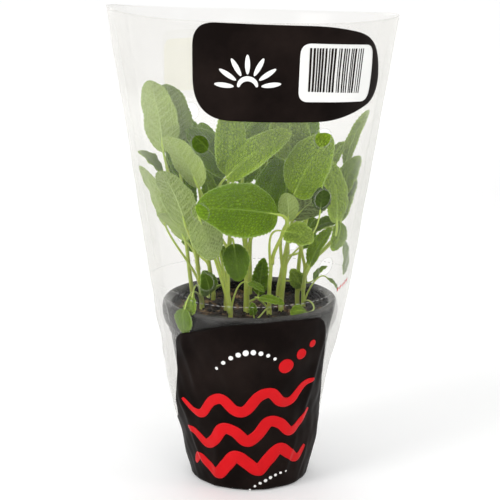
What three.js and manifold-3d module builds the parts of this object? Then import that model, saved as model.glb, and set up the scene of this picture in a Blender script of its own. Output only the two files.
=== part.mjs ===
// A pot of young sage as sold in a shop: a black nursery pot, the growing medium, the leafy sage stems
// and the clear conical sleeve that stands round them.
// Millimetres, +Z up, origin at the centre of the pot's base. The printed front of the sleeve faces -Y.
import * as THREE from "three";
import { mergeVertices } from "three/addons/utils/BufferGeometryUtils.js";
import Module from "manifold-3d";

const wasm = await Module();
wasm.setup();

const clear = 0.3; // gap kept between pieces that touch

const pot = {
  height: 106.5,
  lipRadius: 50.8, // at its widest
  lipHeight: 14, // a broad rounded roll
  lipWidest: 6.5, // this far below its top
  ridgeRadius: 48.6,
  openingRadius: 44.8,
  baseRadius: 33,
  wall: 1.3,
  floorLift: 2.4, // the base panel stands this far above the foot ring's face
  footWidth: 4.5,
  ledgeHeight: 88, // a small step where stacked pots rest in each other
  ledgeRadius: 46.2,
  ledgeStep: 0.9,
  drainHoles: 6,
  drainRadius: 4,
  drainCircle: 20,
  sides: 36,
};

const soil = { top: 97.5, bump: 1.3, rings: 4, sides: 20, stemDepth: 9 };

const sleeve = {
  foot: 0.6, // height of its lower edge
  footRadius: 34.1,
  seatHeight: 100, // about where it passes the pot's lip
  seatRadius: 53.3,
  seatOval: 1.6, // wider by this towards the side seams, narrower by it at front and back
  top: 269,
  topRadius: 80,
  topOval: 0.8,
  topSlant: 2, // the mouth is this much higher on the left than at the middle
  wall: 0.5,
  sides: 48,
  rings: 3,
  ventRadius: 5,
  ventSides: 10,
};

// Vent holes as degrees from the front and height. The back has the same six.
const vents = [[-22.5, 203], [-25, 166], [-26, 129], [34, 207], [38, 172], [45, 134]];

const blade = { thick: 0.7, toothDepth: 0.045, ripple: 0.05 };
const petiole = { sides: 5, steps: 4, tipShare: 0.6, underBlade: 0.1, lowest: 0.12, sweep: 0.35 };
const stemShape = { sides: 6, steps: 6, girth: 1.8, topShare: 0.65 };

// A leaf: where its stalk leaves the stem (as a share of the stem's length), the blade's heel and tip, its
// width, the way its upper face looks, how far the midrib arches towards that face, how many degrees the two
// halves fold up, and the stalk's radius.
function leaf(at, heel, tip, wide, face, bow, fold, stalk) {
  return { at, heel, tip, wide, face, bow, fold, stalk };
}

// Each plant's main stem runs through points from the soil up.
const plants = {
  left_front: {
    stem: [[-28, 2, 97], [-29, -3, 116], [-31, -9, 136]],
    leaves: [
      leaf(1.0, [-47, -31, 195], [-53, -43, 235], 22, [3, 8, 3], 3, 14, 0.9),
      leaf(0.9, [-41, -20, 196], [-45, -32, 232], 22, [2, 8, 3], 3, 10, 0.9),
      leaf(0.7, [-28, -34, 176], [-45, -48, 206], 19, [4, 8, 4], 3, 12, 1),
      leaf(0.5, [-35, -28, 152], [-48, -44, 187], 22, [4, 8, 2], 3, 12, 1),
      leaf(0.15, [-48, -6, 149], [-62, -8, 184], 15, [7, 6, 3], 2, 12, 0.8),
      leaf(0.8, [-36, -14, 142], [-51, -24, 160], 16, [3, 6, 6], 3, 12, 0.9),
      leaf(0.06, [-31, -29.5, 117], [-30.5, -33, 107.4], 8, [-4, -9, 1], 1, 14, 0.6),
      leaf(0.04, [-34, -34.5, 111], [-37, -37.5, 99], 11, [-6, -6, 3], 2.5, 0, 0.6),
    ],
  },
  left_side: {
    stem: [[-34, 16, 97], [-36, 14, 122], [-38, 10, 146]],
    leaves: [
      leaf(1.0, [-50, 8, 176], [-64, 6, 190], 15, [3, -2, 8], 2, 12, 0.8),
      leaf(0.8, [-44, 16, 150], [-60, 20, 168], 18, [6, -1, 7], 3, 12, 0.9),
      leaf(1.0, [-40, 8, 176], [-50, 14, 216], 20, [5, -6, 2], 3, 12, 0.9),
    ],
  },
  middle_front: {
    stem: [[-10, -18, 97], [-11, -19, 107], [-12, -20, 116]],
    leaves: [
      leaf(0.75, [-28, -37, 161], [-20, -44, 138], 19, [1, 9, 2], 2, 8, 0.9),
      leaf(0.9, [-22, -26, 165], [-25, -28, 184], 10, [5, -8, 2], 1, 18, 0.8),
      leaf(0.8, [-9, -26, 143], [-6, -32, 123], 15, [0, -9, 2], 2, 10, 0.9),
      leaf(0.4, [-1, -15, 118], [8, -20, 114], 6, [2, -4, 8], 1, 10, 0.6),
      leaf(0.6, [-19, -10, 146], [-14, -9, 176], 15, [3, -8, 1], 2, 10, 0.9),
    ],
  },
  middle: {
    girth: 2.3,
    stem: [[-2, -3, 97], [-2, -5, 122], [-3, -9, 144]],
    leaves: [
      leaf(1.0, [-12, -27, 182], [-10, -40, 225], 17, [1, -9, 3], 3, 10, 1),
      leaf(0.95, [-13, -32, 181], [22, -45, 208], 19, [-3, -8, 5], 4, 12, 1),
      leaf(0.12, [5, 4, 106], [8, 0, 129], 10, [-2, -9, 2], 1, 14, 0.7),
      leaf(0.9, [22, -16, 188], [21, -30, 224], 23, [0, -9, 4], 3, 8, 1),
      leaf(0.7, [7, -14, 157], [17, -14, 190], 18, [-1, -9, 1], 2, 10, 0.9),
      leaf(1.0, [-13, -14, 180], [-35, -26, 207], 20, [1, -7, 6], 3, 10, 0.9),
      leaf(1.0, [0, -7, 190], [13, -9, 213], 18, [-1, -9, 3], 2, 10, 0.9),
    ],
  },
  right_front: {
    stem: [[11, -10, 97], [11, -14, 114], [12, -19, 130]],
    leaves: [
      leaf(1.0, [15, -39, 162], [-29, -53, 168], 31, [0, -8, 4], 4, 7, 1.1),
      leaf(0.75, [19, -41, 153], [34, -48, 149], 16, [1, -6, 6], 2, 12, 0.8),
      leaf(0.12, [5, -26, 112], [19, -32, 110], 7, [0, -4, 8], 1, 12, 0.6),
      leaf(0.14, [2, -34, 104], [1, -36, 112], 5, [2, -9, 1], 0.5, 16, 0.6),
    ],
  },
  right_middle: {
    girth: 2.1,
    stem: [[18, -2, 97], [19, -5, 116], [21, -10, 134]],
    leaves: [
      leaf(1.0, [24, -30, 171], [43, -42, 206], 27, [-3, -9, 4], 4, 8, 1),
      leaf(0.5, [24, -14, 155], [53, -15, 175], 24, [-1, 7, 5], 3, 8, 1),
      leaf(0.75, [21, -30, 157], [20, -33, 173], 12, [2, 8, -2], 2, 14, 0.8),
    ],
  },
  right_side: {
    stem: [[31, 5, 97], [31, 3, 110], [32, 0, 122]],
    leaves: [
      leaf(0.6, [34, -8, 126], [46, -16, 150], 11, [-6, -7, 3], 2, 30, 1),
      leaf(0.9, [33, -6, 145], [51, -10, 153], 12, [-2, -4, 8], 2, 16, 0.9),
      leaf(1.0, [51, -15, 153], [46, -22, 138], 10, [4, -7, 3], 2, 14, 0.6),
      leaf(0.7, [54, 2, 139], [54, 0, 119], 8, [8, -5, 1], 1, 16, 0.6),
      leaf(0.8, [48, -25, 155], [42, -34, 192], 15, [4, -8, 1], 3, 14, 0.9),
      leaf(0.18, [32, -25.5, 103.4], [22.5, -29, 103.6], 10, [0, -5, 8], 2, 6, 0.6),
      leaf(0.12, [45, 4, 116], [51, 4, 109], 5, [6, -2, 5], 1, 10, 0.6),
    ],
  },
  right_back: {
    stem: [[28, 17, 97], [29, 16, 124], [33, 14, 150]],
    leaves: [
      leaf(0.15, [31, 14, 108], [24, 10, 120], 10, [-3, -6, 6], 2, 12, 0.7),
      leaf(1.0, [44, 13, 178], [55, 17, 194], 13, [-4, -8, 4], 2, 12, 0.7),
      leaf(0.8, [52, 4, 150], [61, 7, 174], 12, [-6, -6, 3], 2, 14, 0.8),
      leaf(0.95, [51, 6, 163], [63, 9, 187], 14, [-5, -7, 4], 2, 14, 0.8),
      leaf(1.0, [55, 14, 180], [68, 12, 213], 13, [-6, -7, 3], 3, 18, 0.8),
    ],
  },
  left_back: {
    stem: [[-22, 24, 97], [-25, 26, 124], [-28, 27, 148]],
    leaves: [
      leaf(0.9, [-36, 34, 150], [-50, 43, 182], 22, [6, -5, 5], 3, 10, 1),
      leaf(1.0, [-24, 40, 164], [-29, 54, 198], 21, [2, -7, 5], 3, 10, 1),
      leaf(0.4, [-32, 36, 124], [-39, 45, 134], 15, [1, -2, 9], 2, 8, 0.8),
      leaf(1.0, [-32, 28, 174], [-42, 33, 210], 20, [5, -6, 3], 3, 14, 1),
      leaf(0.15, [-22, 10, 107], [-19, -3, 113], 9, [0, -3, 9], 1, 10, 0.7),
    ],
  },
  back: {
    stem: [[0, 32, 97], [0, 34, 128], [2, 33, 158]],
    leaves: [
      leaf(0.6, [-4, 47, 140], [-7, 59, 162], 21, [0, -6, 7], 3, 10, 1),
      leaf(1.0, [6, 44, 166], [8, 60, 200], 20, [0, -7, 5], 3, 12, 1),
      leaf(0.7, [15, 46, 146], [29, 53, 174], 18, [-3, -6, 6], 3, 10, 1),
      leaf(1.0, [-7, 28, 182], [-13, 35, 222], 19, [1, -8, 3], 3, 12, 1),
      leaf(0.95, [10, 27, 178], [18, 33, 216], 19, [-2, -8, 4], 3, 12, 1),
      leaf(0.3, [-12, 42, 116], [-20, 45, 126], 12, [1, -3, 8], 2, 8, 0.7),
    ],
  },
  back_right: {
    stem: [[17, 28, 97], [20, 29, 120], [25, 28, 145]],
    leaves: [
      leaf(0.9, [37, 31, 150], [49, 39, 182], 21, [-6, -5, 5], 3, 10, 1),
      leaf(1.0, [29, 25, 174], [38, 31, 210], 20, [-4, -6, 5], 3, 12, 1),
      leaf(0.5, [32, 38, 126], [39, 46, 144], 16, [-4, -5, 7], 2, 8, 0.8),
      leaf(0.2, [38, 24, 110], [46, 26, 118], 9, [-4, -1, 8], 1.5, 8, 0.6),
    ],
  },
  centre: {
    stem: [[-14, 6, 97], [-13, 8, 124], [-11, 10, 152]],
    leaves: [
      leaf(1.0, [-4, 12, 170], [2, 17, 206], 19, [-1, -8, 4], 3, 10, 1),
      leaf(1.0, [-21, 8, 168], [-28, 10, 206], 20, [4, -8, 3], 3, 10, 1),
      leaf(0.6, [-17, 17, 140], [-15, 26, 158], 15, [0, -6, 6], 2, 8, 0.9),
    ],
  },
};

const colours = {
  pot: { color: 0x1a1819, roughness: 0.5, metalness: 0 },
  soil: { color: 0x2b2019, roughness: 1, metalness: 0 },
  sage: { color: 0x6f9440, roughness: 0.75, metalness: 0 },
  film: { color: 0xf4f4f0, roughness: 0.15, metalness: 0, transparent: true, opacity: 0.3 },
};

const vec = (p) => new THREE.Vector3(...p);
const radians = THREE.MathUtils.degToRad;
const mix = THREE.MathUtils.lerp;

// A closed triangle mesh as a solid that can be joined and cut.
function solidFrom(geometry) {
  const bare = geometry.clone();
  bare.deleteAttribute("normal");
  bare.deleteAttribute("uv");
  const merged = mergeVertices(bare, 1e-4);
  return new wasm.Manifold(
    new wasm.Mesh({
      numProp: 3,
      vertProperties: new Float32Array(merged.attributes.position.array),
      triVerts: new Uint32Array(merged.index.array),
    }),
  );
}

function geometryFrom(solid) {
  const { vertProperties, triVerts } = solid.getMesh();
  const geometry = new THREE.BufferGeometry();
  geometry.setAttribute("position", new THREE.BufferAttribute(vertProperties, 3));
  geometry.setIndex(new THREE.BufferAttribute(triVerts, 1));
  return geometry;
}

function indexedGeometry(points, faces) {
  const geometry = new THREE.BufferGeometry();
  geometry.setAttribute("position", new THREE.Float32BufferAttribute(points.flatMap((p) => p.toArray()), 3));
  geometry.setIndex(faces.flat());
  return geometry;
}

function namedMesh(name, solid, look) {
  const mesh = new THREE.Mesh(geometryFrom(solid), new THREE.MeshStandardMaterial(look));
  mesh.name = name;
  return mesh;
}

function cylinder(radius, height, sides, x, y, lowest) {
  const made = new THREE.CylinderGeometry(radius, radius, height, sides);
  made.rotateX(Math.PI / 2);
  return solidFrom(made.translate(x, y, lowest + height / 2));
}

// A LatheGeometry turns about Y, so it is stood up to turn about Z.
function turned(profile, sides) {
  const made = new THREE.LatheGeometry(profile.map(([r, z]) => new THREE.Vector2(r, z)), sides);
  return solidFrom(made.rotateX(Math.PI / 2));
}

// Radius of the pot's outer wall at a height, below its lip.
function potRadius(z) {
  const below = z < pot.ledgeHeight;
  const slope = (pot.ledgeRadius - pot.baseRadius) / pot.ledgeHeight;
  return pot.baseRadius + slope * z + (below ? 0 : pot.ledgeStep);
}

// Outer radius of the sleeve at an angle from the front and a height.
function sleeveRadius(angle, z) {
  const { foot, footRadius, seatHeight, seatRadius, seatOval, top, topRadius, topOval } = sleeve;
  const low = z < seatHeight;
  const t = low ? (z - foot) / (seatHeight - foot) : (z - seatHeight) / (top - seatHeight);
  const cone = low ? mix(footRadius, seatRadius, t) : mix(seatRadius, topRadius, t);
  const oval = low ? mix(0, seatOval, t) : mix(seatOval, topOval, t);
  return cone - oval * Math.cos(2 * angle);
}

const angleOf = (p) => Math.atan2(p.x, -p.y);

// Moves a point in, where it would come nearer to the film than the margin.
function insideFilm(p, margin) {
  const limit = sleeveRadius(angleOf(p), p.z) * Math.cos(Math.PI / sleeve.sides) - sleeve.wall - margin;
  const radius = Math.hypot(p.x, p.y);
  if (radius > limit) {
    p.x *= limit / radius;
    p.y *= limit / radius;
  }
  return p;
}

function makePot() {
  const { height, lipRadius, lipHeight, lipWidest, ridgeRadius, openingRadius } = pot;
  const { wall, floorLift, footWidth, baseRadius, ledgeHeight, ledgeStep } = pot;
  const underLip = height - lipHeight;
  const inner = (z) => potRadius(z) - wall;
  const profile = [
    [0, floorLift],
    [baseRadius - footWidth - 1, floorLift],
    [baseRadius - footWidth, 0],
    [baseRadius - 1, 0],
    [potRadius(1), 1],
    [potRadius(ledgeHeight - 0.01), ledgeHeight],
    [potRadius(ledgeHeight), ledgeHeight + ledgeStep],
    [potRadius(underLip), underLip],
    [lipRadius - 1.5, underLip + 1],
    [lipRadius, height - lipWidest],
    [lipRadius - 0.5, height - 2.5],
    [ridgeRadius, height],
    [openingRadius + 0.2, height - 1.7],
    [openingRadius, height - 3.1],
    [inner(height - 5.7), height - 5.7],
    [inner(ledgeHeight), ledgeHeight + ledgeStep - 1],
    [inner(ledgeHeight - 0.01), ledgeHeight - 1.5],
    [inner(floorLift + wall), floorLift + wall],
    [0, floorLift + wall],
  ];
  let solid = turned(profile, pot.sides);
  for (let i = 0; i < pot.drainHoles; i++) {
    const a = (2 * Math.PI * i) / pot.drainHoles;
    const [x, y] = [pot.drainCircle * Math.cos(a), pot.drainCircle * Math.sin(a)];
    solid = solid.subtract(cylinder(pot.drainRadius, floorLift + wall + 4, 12, x, y, -1));
  }
  return namedMesh("pot", solid, colours.pot);
}

// Height of the crumbly surface, as a sum of a few waves.
function soilHeight(x, y) {
  const waves = Math.sin(0.23 * x + 1.3) * Math.cos(0.19 * y) + 0.6 * Math.sin(0.41 * y - 0.17 * x + 0.5);
  return soil.top + soil.bump * waves;
}

function makeSoil() {
  const inner = (z) => potRadius(z) - pot.wall - clear;
  const low = pot.floorLift + pot.wall + clear;
  const points = [new THREE.Vector3(0, 0, low), new THREE.Vector3(0, 0, soilHeight(0, 0))];
  const faces = [];
  const ringAt = (radius, height) => {
    const start = points.length;
    for (let i = 0; i < soil.sides; i++) {
      const a = (2 * Math.PI * i) / soil.sides;
      const [x, y] = [radius * Math.cos(a), radius * Math.sin(a)];
      points.push(new THREE.Vector3(x, y, height ?? soilHeight(x, y)));
    }
    return start;
  };
  const band = (a, b) => {
    for (let i = 0; i < soil.sides; i++) {
      const j = (i + 1) % soil.sides;
      faces.push([a + i, a + j, b + j], [a + i, b + j, b + i]);
    }
  };
  const shrink = Math.cos(Math.PI / pot.sides); // the pot's wall is faceted, so its flats come nearer
  const rings = [
    ringAt(inner(low) * shrink, low),
    ringAt((inner(pot.ledgeHeight - 0.01) - 0.2) * shrink, pot.ledgeHeight - 2.2),
    ringAt((inner(pot.ledgeHeight) - 0.2) * shrink, pot.ledgeHeight + 1),
  ];
  for (let k = soil.rings; k > 0; k--) {
    rings.push(ringAt(((inner(soil.top) - 0.3) * shrink * k) / soil.rings));
  }
  rings.slice(1).forEach((ring, k) => band(rings[k], ring));
  for (let i = 0; i < soil.sides; i++) {
    const j = (i + 1) % soil.sides;
    faces.push([0, rings[0] + j, rings[0] + i], [1, rings.at(-1) + i, rings.at(-1) + j]);
  }
  let solid = solidFrom(indexedGeometry(points, faces));
  for (const { stem, girth = stemShape.girth } of Object.values(plants)) {
    const [x, y] = stem[0];
    const room = girth + 1.5 * clear;
    solid = solid.subtract(cylinder(room, 30, 8, x, y, soil.top - soil.stemDepth - clear));
  }
  return namedMesh("growing_medium", solid, colours.soil);
}

function makeSleeve() {
  const { sides, rings, wall, foot, top, topSlant } = sleeve;
  const points = [];
  const faces = [];
  const at = (inner, k, i) => (inner * (rings + 1) + k) * sides + (i % sides);
  for (const inset of [0, wall]) {
    for (let k = 0; k <= rings; k++) {
      for (let i = 0; i < sides; i++) {
        const angle = (2 * Math.PI * i) / sides;
        const level = k === 0 ? foot : mix(sleeve.seatHeight, top, (k - 1) / (rings - 1));
        const radius = sleeveRadius(angle, level) - inset;
        const slant = k < 2 ? 0 : ((k - 1) / (rings - 1)) * topSlant * (1 + Math.sin(angle));
        points.push(new THREE.Vector3(radius * Math.sin(angle), -radius * Math.cos(angle), level - slant));
      }
    }
  }
  for (let i = 0; i < sides; i++) {
    for (let k = 0; k < rings; k++) {
      const [a, b, c, d] = [at(0, k, i), at(0, k, i + 1), at(0, k + 1, i + 1), at(0, k + 1, i)];
      faces.push([a, b, c], [a, c, d]);
      const [e, f, g, h] = [at(1, k, i), at(1, k, i + 1), at(1, k + 1, i + 1), at(1, k + 1, i)];
      faces.push([e, g, f], [e, h, g]);
    }
    const ends = [[at(0, 0, i), at(0, 0, i + 1), at(1, 0, i + 1), at(1, 0, i)]];
    ends.push([at(1, rings, i), at(1, rings, i + 1), at(0, rings, i + 1), at(0, rings, i)]);
    for (const [a, b, c, d] of ends) faces.push([a, c, b], [a, d, c]);
  }
  let solid = solidFrom(indexedGeometry(points, faces));
  for (const [degrees, z] of [...vents, ...vents.map(([front, height]) => [front + 180, height])]) {
    const angle = radians(degrees);
    const radius = sleeveRadius(angle, z);
    const punch = new THREE.CylinderGeometry(sleeve.ventRadius, sleeve.ventRadius, 12, sleeve.ventSides);
    punch.rotateZ(angle).translate(radius * Math.sin(angle), -radius * Math.cos(angle), z);
    solid = solid.subtract(solidFrom(punch));
  }
  return namedMesh("sleeve", solid, colours.film);
}

// Share of the full width at each point along the blade: rounded heel, fullest before the middle, blunt tip.
const outline = (u) => Math.sin(Math.PI * u ** 0.84) ** 0.52;

// The blade's own directions: along the midrib, towards its upper face and across.
function bladeFrame(one) {
  const heel = vec(one.heel);
  const chord = vec(one.tip).sub(heel);
  const along = chord.clone().normalize();
  const face = vec(one.face);
  face.addScaledVector(along, -face.dot(along)).normalize();
  const across = new THREE.Vector3().crossVectors(face, along);
  const rise = (u) => one.bow * 4 * u * (1 - u);
  const midrib = (u) => heel.clone().addScaledVector(chord, u).addScaledVector(face, rise(u));
  return { along, face, across, midrib, length: chord.length() };
}

// A thin blade with a scalloped edge: three points across each station, doubled for its two faces.
function bladeSolid(one) {
  const { face, across, midrib, length } = bladeFrame(one);
  const stations = length > 26 ? 8 : length > 15 ? 6 : 5;
  const fold = radians(one.fold);
  const points = [];
  for (let k = 0; k <= stations; k++) {
    const u = mix(0.02, 0.985, k / stations);
    const tooth = 1 + blade.toothDepth * (k % 2 ? 1 : -1);
    const half = (one.wide / 2) * outline(u) * tooth;
    for (const v of [-1, 0, 1]) {
      const lift = Math.abs(v) * half * Math.sin(fold) + blade.ripple * half * v * Math.sin(9 * u);
      const p = midrib(u).addScaledVector(across, v * half * Math.cos(fold)).addScaledVector(face, lift);
      const outward = p.x * face.x + p.y * face.y > 0 ? 1 : -1;
      for (const s of [1, -1]) {
        const q = p.clone().addScaledVector(face, (s * blade.thick) / 2);
        points.push(insideFilm(q, clear + (s === outward ? 0 : blade.thick)));
      }
    }
  }
  const at = (k, j, lower) => k * 6 + j * 2 + lower;
  const faces = [];
  const quad = (a, b, c, d) => faces.push([a, b, c], [a, c, d]);
  for (let k = 0; k < stations; k++) {
    for (const j of [0, 1]) {
      quad(at(k, j, 0), at(k + 1, j, 0), at(k + 1, j + 1, 0), at(k, j + 1, 0));
      faces.push([at(k, j, 1), at(k + 1, j + 1, 1), at(k + 1, j, 1)]);
      faces.push([at(k, j, 1), at(k, j + 1, 1), at(k + 1, j + 1, 1)]);
    }
    quad(at(k, 0, 1), at(k + 1, 0, 1), at(k + 1, 0, 0), at(k, 0, 0));
    quad(at(k, 2, 0), at(k + 1, 2, 0), at(k + 1, 2, 1), at(k, 2, 1));
  }
  for (const j of [0, 1]) {
    quad(at(0, j, 0), at(0, j + 1, 0), at(0, j + 1, 1), at(0, j, 1));
    quad(at(stations, j, 1), at(stations, j + 1, 1), at(stations, j + 1, 0), at(stations, j, 0));
  }
  return solidFrom(indexedGeometry(points, faces));
}

// A tapering tube along a curve, closed at both ends.
function tube(curve, steps, sides, startRadius, endRadius) {
  const frames = curve.computeFrenetFrames(steps, false);
  const points = [];
  const faces = [];
  for (let k = 0; k <= steps; k++) {
    const centre = insideFilm(curve.getPointAt(k / steps), clear + startRadius);
    const radius = mix(startRadius, endRadius, k / steps);
    for (let i = 0; i < sides; i++) {
      const a = (2 * Math.PI * i) / sides;
      const p = centre.clone().addScaledVector(frames.normals[k], radius * Math.cos(a));
      points.push(p.addScaledVector(frames.binormals[k], radius * Math.sin(a)));
    }
  }
  for (let k = 0; k < steps; k++) {
    for (let i = 0; i < sides; i++) {
      const j = (i + 1) % sides;
      const [a, b, c, d] = [k * sides + i, k * sides + j, (k + 1) * sides + j, (k + 1) * sides + i];
      faces.push([a, b, c], [a, c, d]);
    }
  }
  const last = steps * sides;
  for (let i = 1; i < sides - 1; i++) faces.push([0, i + 1, i], [last, last + i, last + i + 1]);
  return solidFrom(indexedGeometry(points, faces));
}

// The stem stands upright in its hole and bends only above the soil.
function stemCurve(plant) {
  const [foot, low, clearOfSoil] = [-soil.stemDepth, 1.5, 5].map((rise) => {
    const p = vec(plant.stem[0]);
    p.z = soil.top + rise;
    return p;
  });
  return new THREE.CatmullRomCurve3([foot, low, clearOfSoil, ...plant.stem.slice(1).map(vec)]);
}

// The leaf stalk: out of the stem above the soil, over to the blade's heel and on under its midrib.
function stalkCurve(one, stem) {
  const { midrib, along, face } = bladeFrame(one);
  const joint = mix(petiole.lowest, 1, one.at);
  const start = stem.getPointAt(joint);
  const heel = midrib(0);
  const reach = start.distanceTo(heel);
  const out = stem.getTangentAt(joint).multiplyScalar(petiole.sweep * reach);
  const before = heel.clone().addScaledVector(along, -petiole.sweep * reach);
  const bend = new THREE.CubicBezierCurve3(start, start.clone().add(out), before, heel);
  const under = midrib(petiole.underBlade).addScaledVector(face, -blade.thick / 2);
  const points = [0, 0.25, 0.5, 0.75, 1].map((t) => bend.getPoint(t));
  points.push(under);
  return new THREE.CatmullRomCurve3(points);
}

function plantSolid(plant) {
  const { girth = stemShape.girth } = plant;
  const stem = stemCurve(plant);
  const pieces = [tube(stem, stemShape.steps, stemShape.sides, girth, girth * stemShape.topShare)];
  for (const one of plant.leaves) {
    const stalk = stalkCurve(one, stem);
    pieces.push(tube(stalk, petiole.steps, petiole.sides, one.stalk, one.stalk * petiole.tipShare));
    pieces.push(bladeSolid(one));
  }
  // Where stalk and blade faces cross, a pocket smaller than a grain can be shut in: the outer shell is kept.
  const shells = wasm.Manifold.union(pieces).decompose();
  return shells.reduce((outer, shell) => (shell.volume() > outer.volume() ? shell : outer));
}

const pottedSage = new THREE.Group();
pottedSage.add(makePot(), makeSoil(), makeSleeve());
for (const [name, plant] of Object.entries(plants)) {
  pottedSage.add(namedMesh("sage_" + name, plantSolid(plant), colours.sage));
}

export default pottedSage;
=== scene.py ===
import bpy
import math
import numpy as np
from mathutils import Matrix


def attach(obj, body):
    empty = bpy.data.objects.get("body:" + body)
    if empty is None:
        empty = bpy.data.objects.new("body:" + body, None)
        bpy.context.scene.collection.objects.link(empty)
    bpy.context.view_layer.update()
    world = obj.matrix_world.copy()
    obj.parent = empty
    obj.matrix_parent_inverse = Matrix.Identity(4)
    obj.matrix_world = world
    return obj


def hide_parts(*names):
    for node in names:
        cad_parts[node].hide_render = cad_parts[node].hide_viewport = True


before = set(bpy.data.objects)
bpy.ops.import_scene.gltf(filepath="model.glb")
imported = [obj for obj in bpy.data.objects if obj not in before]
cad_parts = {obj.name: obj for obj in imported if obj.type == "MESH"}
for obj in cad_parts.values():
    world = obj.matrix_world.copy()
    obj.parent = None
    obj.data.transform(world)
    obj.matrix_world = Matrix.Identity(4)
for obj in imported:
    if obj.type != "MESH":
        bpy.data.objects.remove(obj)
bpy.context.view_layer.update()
print("frame loaded")

mm = 0.001  # shapes are worked out in millimetres and put into their meshes in metres
fullTurn = 2 * math.pi


# From a to b by the share.
def mix(a, b, share):
    return a + (b - a) * share


# From 0 at low to 1 at high, level at both, as 3 t squared less 2 t cubed.
def smoothStep(low, high, x):
    t = np.clip((x - low) / (high - low), 0, 1)
    return t * t * (3 - 2 * t)


# The same direction with a length of one.
def unit(v):
    return v / np.linalg.norm(v, axis=-1, keepdims=True)


# The same angle between minus and plus half a turn.
def wrapped(angle):
    return np.mod(angle + math.pi, fullTurn) - math.pi


# The length run along a path of points, and the place at each share of its whole length.
def runAlong(path):
    return np.concatenate([[0], np.cumsum(np.linalg.norm(np.diff(path, axis=0), axis=1))])


def alongPath(path, run, at):
    at = np.asarray(at) * run[-1]
    return np.stack([np.interp(at, run, column) for column in path.T], -1)


# Angles round the axis, the same in every row.
def turnGrid(rows, columns):
    return np.tile(np.linspace(0, fullTurn, columns, endpoint=False), (rows, 1))


# Points moved to or from the axis, as x and y times their share.
def spread(points, share):
    return points * np.stack([share, share, np.ones_like(share)], -1)


# Smooth noise: a sum of sine waves, each along its own drawn direction in space, from the longest
# wavelength down to the shortest.
def waves(points, longest, shortest, count, seed):
    draw = np.random.default_rng(seed)
    total = np.zeros(points.shape[:-1])
    for k in range(count):
        length = longest * (shortest / longest) ** (k / max(count - 1, 1))
        direction = unit(draw.normal(size=3))
        total += np.sin(points @ direction * (fullTurn / length) + draw.uniform(0, fullTurn))
    return total / math.sqrt(count)


# Distances from each place on a flat chart to its nearest and second nearest seed, with one seed drawn in
# every square of the given size. The square's own number, hashed by a sine, places its seed.
def cellDistances(x, y, size, seed):
    column, row = np.floor(x / size), np.floor(y / size)
    nearest = np.full(x.shape, 9.0 * size)
    second = nearest.copy()
    for di in (-1, 0, 1):
        for dj in (-1, 0, 1):
            i, j = column + di, row + dj
            hashed = np.sin(i * 127.1 + j * 311.7 + seed * 17.3) * 43758.5
            other = np.sin(i * 269.5 + j * 183.3 + seed * 31.7) * 24634.6
            seedX = (i + 0.15 + 0.7 * (hashed - np.floor(hashed))) * size
            seedY = (j + 0.15 + 0.7 * (other - np.floor(other))) * size
            away = np.hypot(x - seedX, y - seedY)
            second = np.minimum(second, np.maximum(nearest, away))
            nearest = np.minimum(nearest, away)
    return nearest, second


# A smooth curve through given points: Catmull-Rom pieces, evenly shared out over the count asked for.
def smoothCurve(points, count):
    p = np.asarray(points, float)
    padded = np.concatenate([2 * p[:1] - p[1:2], p, 2 * p[-1:] - p[-2:-1]])
    spans = len(padded) - 3
    along = np.linspace(0, spans, count)
    k = np.minimum(along.astype(int), spans - 1)
    t = (along - k)[:, None]
    a, b, c, d = padded[k], padded[k + 1], padded[k + 2], padded[k + 3]
    bent = (2 * a - 5 * b + 4 * c - d) * t**2 + (3 * b - a - 3 * c + d) * t**3
    return 0.5 * (2 * b + (c - a) * t + bent)


# Faces of a thin closed wall between an outer and an inner grid of points, with the same rows and columns.
# Cells that aren't kept are left open. Every open edge is closed by a strip between the two grids, except
# that the first or last row of a wrapped grid may be filled instead, by one flat face on each side.
def wallFaces(rows, columns, wrap=False, keep=None, fillStart=False, fillEnd=False):
    cells = columns if wrap else columns - 1
    keep = np.ones((rows - 1, cells), bool) if keep is None else keep
    r, c = np.meshgrid(np.arange(rows - 1), np.arange(cells), indexing="ij")
    right = (c + 1) % columns
    a, b, d, e = r * columns + c, r * columns + right, (r + 1) * columns + right, (r + 1) * columns + c
    far = rows * columns  # the inner grid's numbers start here
    edge = np.zeros((1, cells), bool)
    below, above = np.vstack([edge, keep[:-1]]), np.vstack([keep[1:], edge])
    before, after = np.roll(keep, 1, 1), np.roll(keep, -1, 1)
    if not wrap:
        before[:, 0] = after[:, -1] = False
    below[0] |= fillStart
    above[-1] |= fillEnd
    groups = [
        (keep, (a, b, d, e)),
        (keep, (a + far, e + far, d + far, b + far)),
        (keep & ~below, (b, a, a + far, b + far)),
        (keep & ~above, (e, d, d + far, e + far)),
        (keep & ~after, (d, b, b + far, d + far)),
        (keep & ~before, (a, e, e + far, a + far)),
    ]
    faces = [np.concatenate([np.stack([q[mask] for q in quad], -1) for mask, quad in groups])]
    ring = np.arange(columns)[None]
    if fillStart:
        faces += [ring[:, ::-1], ring + far]
    if fillEnd:
        last = ring + (rows - 1) * columns
        faces += [last, last[:, ::-1] + far]
    return faces


# A closed skin through rings of points: quads between the rings and one flat face at each end.
def tubeFaces(rows, columns):
    r, c = np.meshgrid(np.arange(rows - 1), np.arange(columns), indexing="ij")
    right = (c + 1) % columns
    low, high = r * columns, (r + 1) * columns
    quads = np.stack([low + c, low + right, high + right, high + c], -1).reshape(-1, 4)
    ring = np.arange(columns)[None]
    return [quads, ring[:, ::-1], ring + (rows - 1) * columns]


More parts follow.
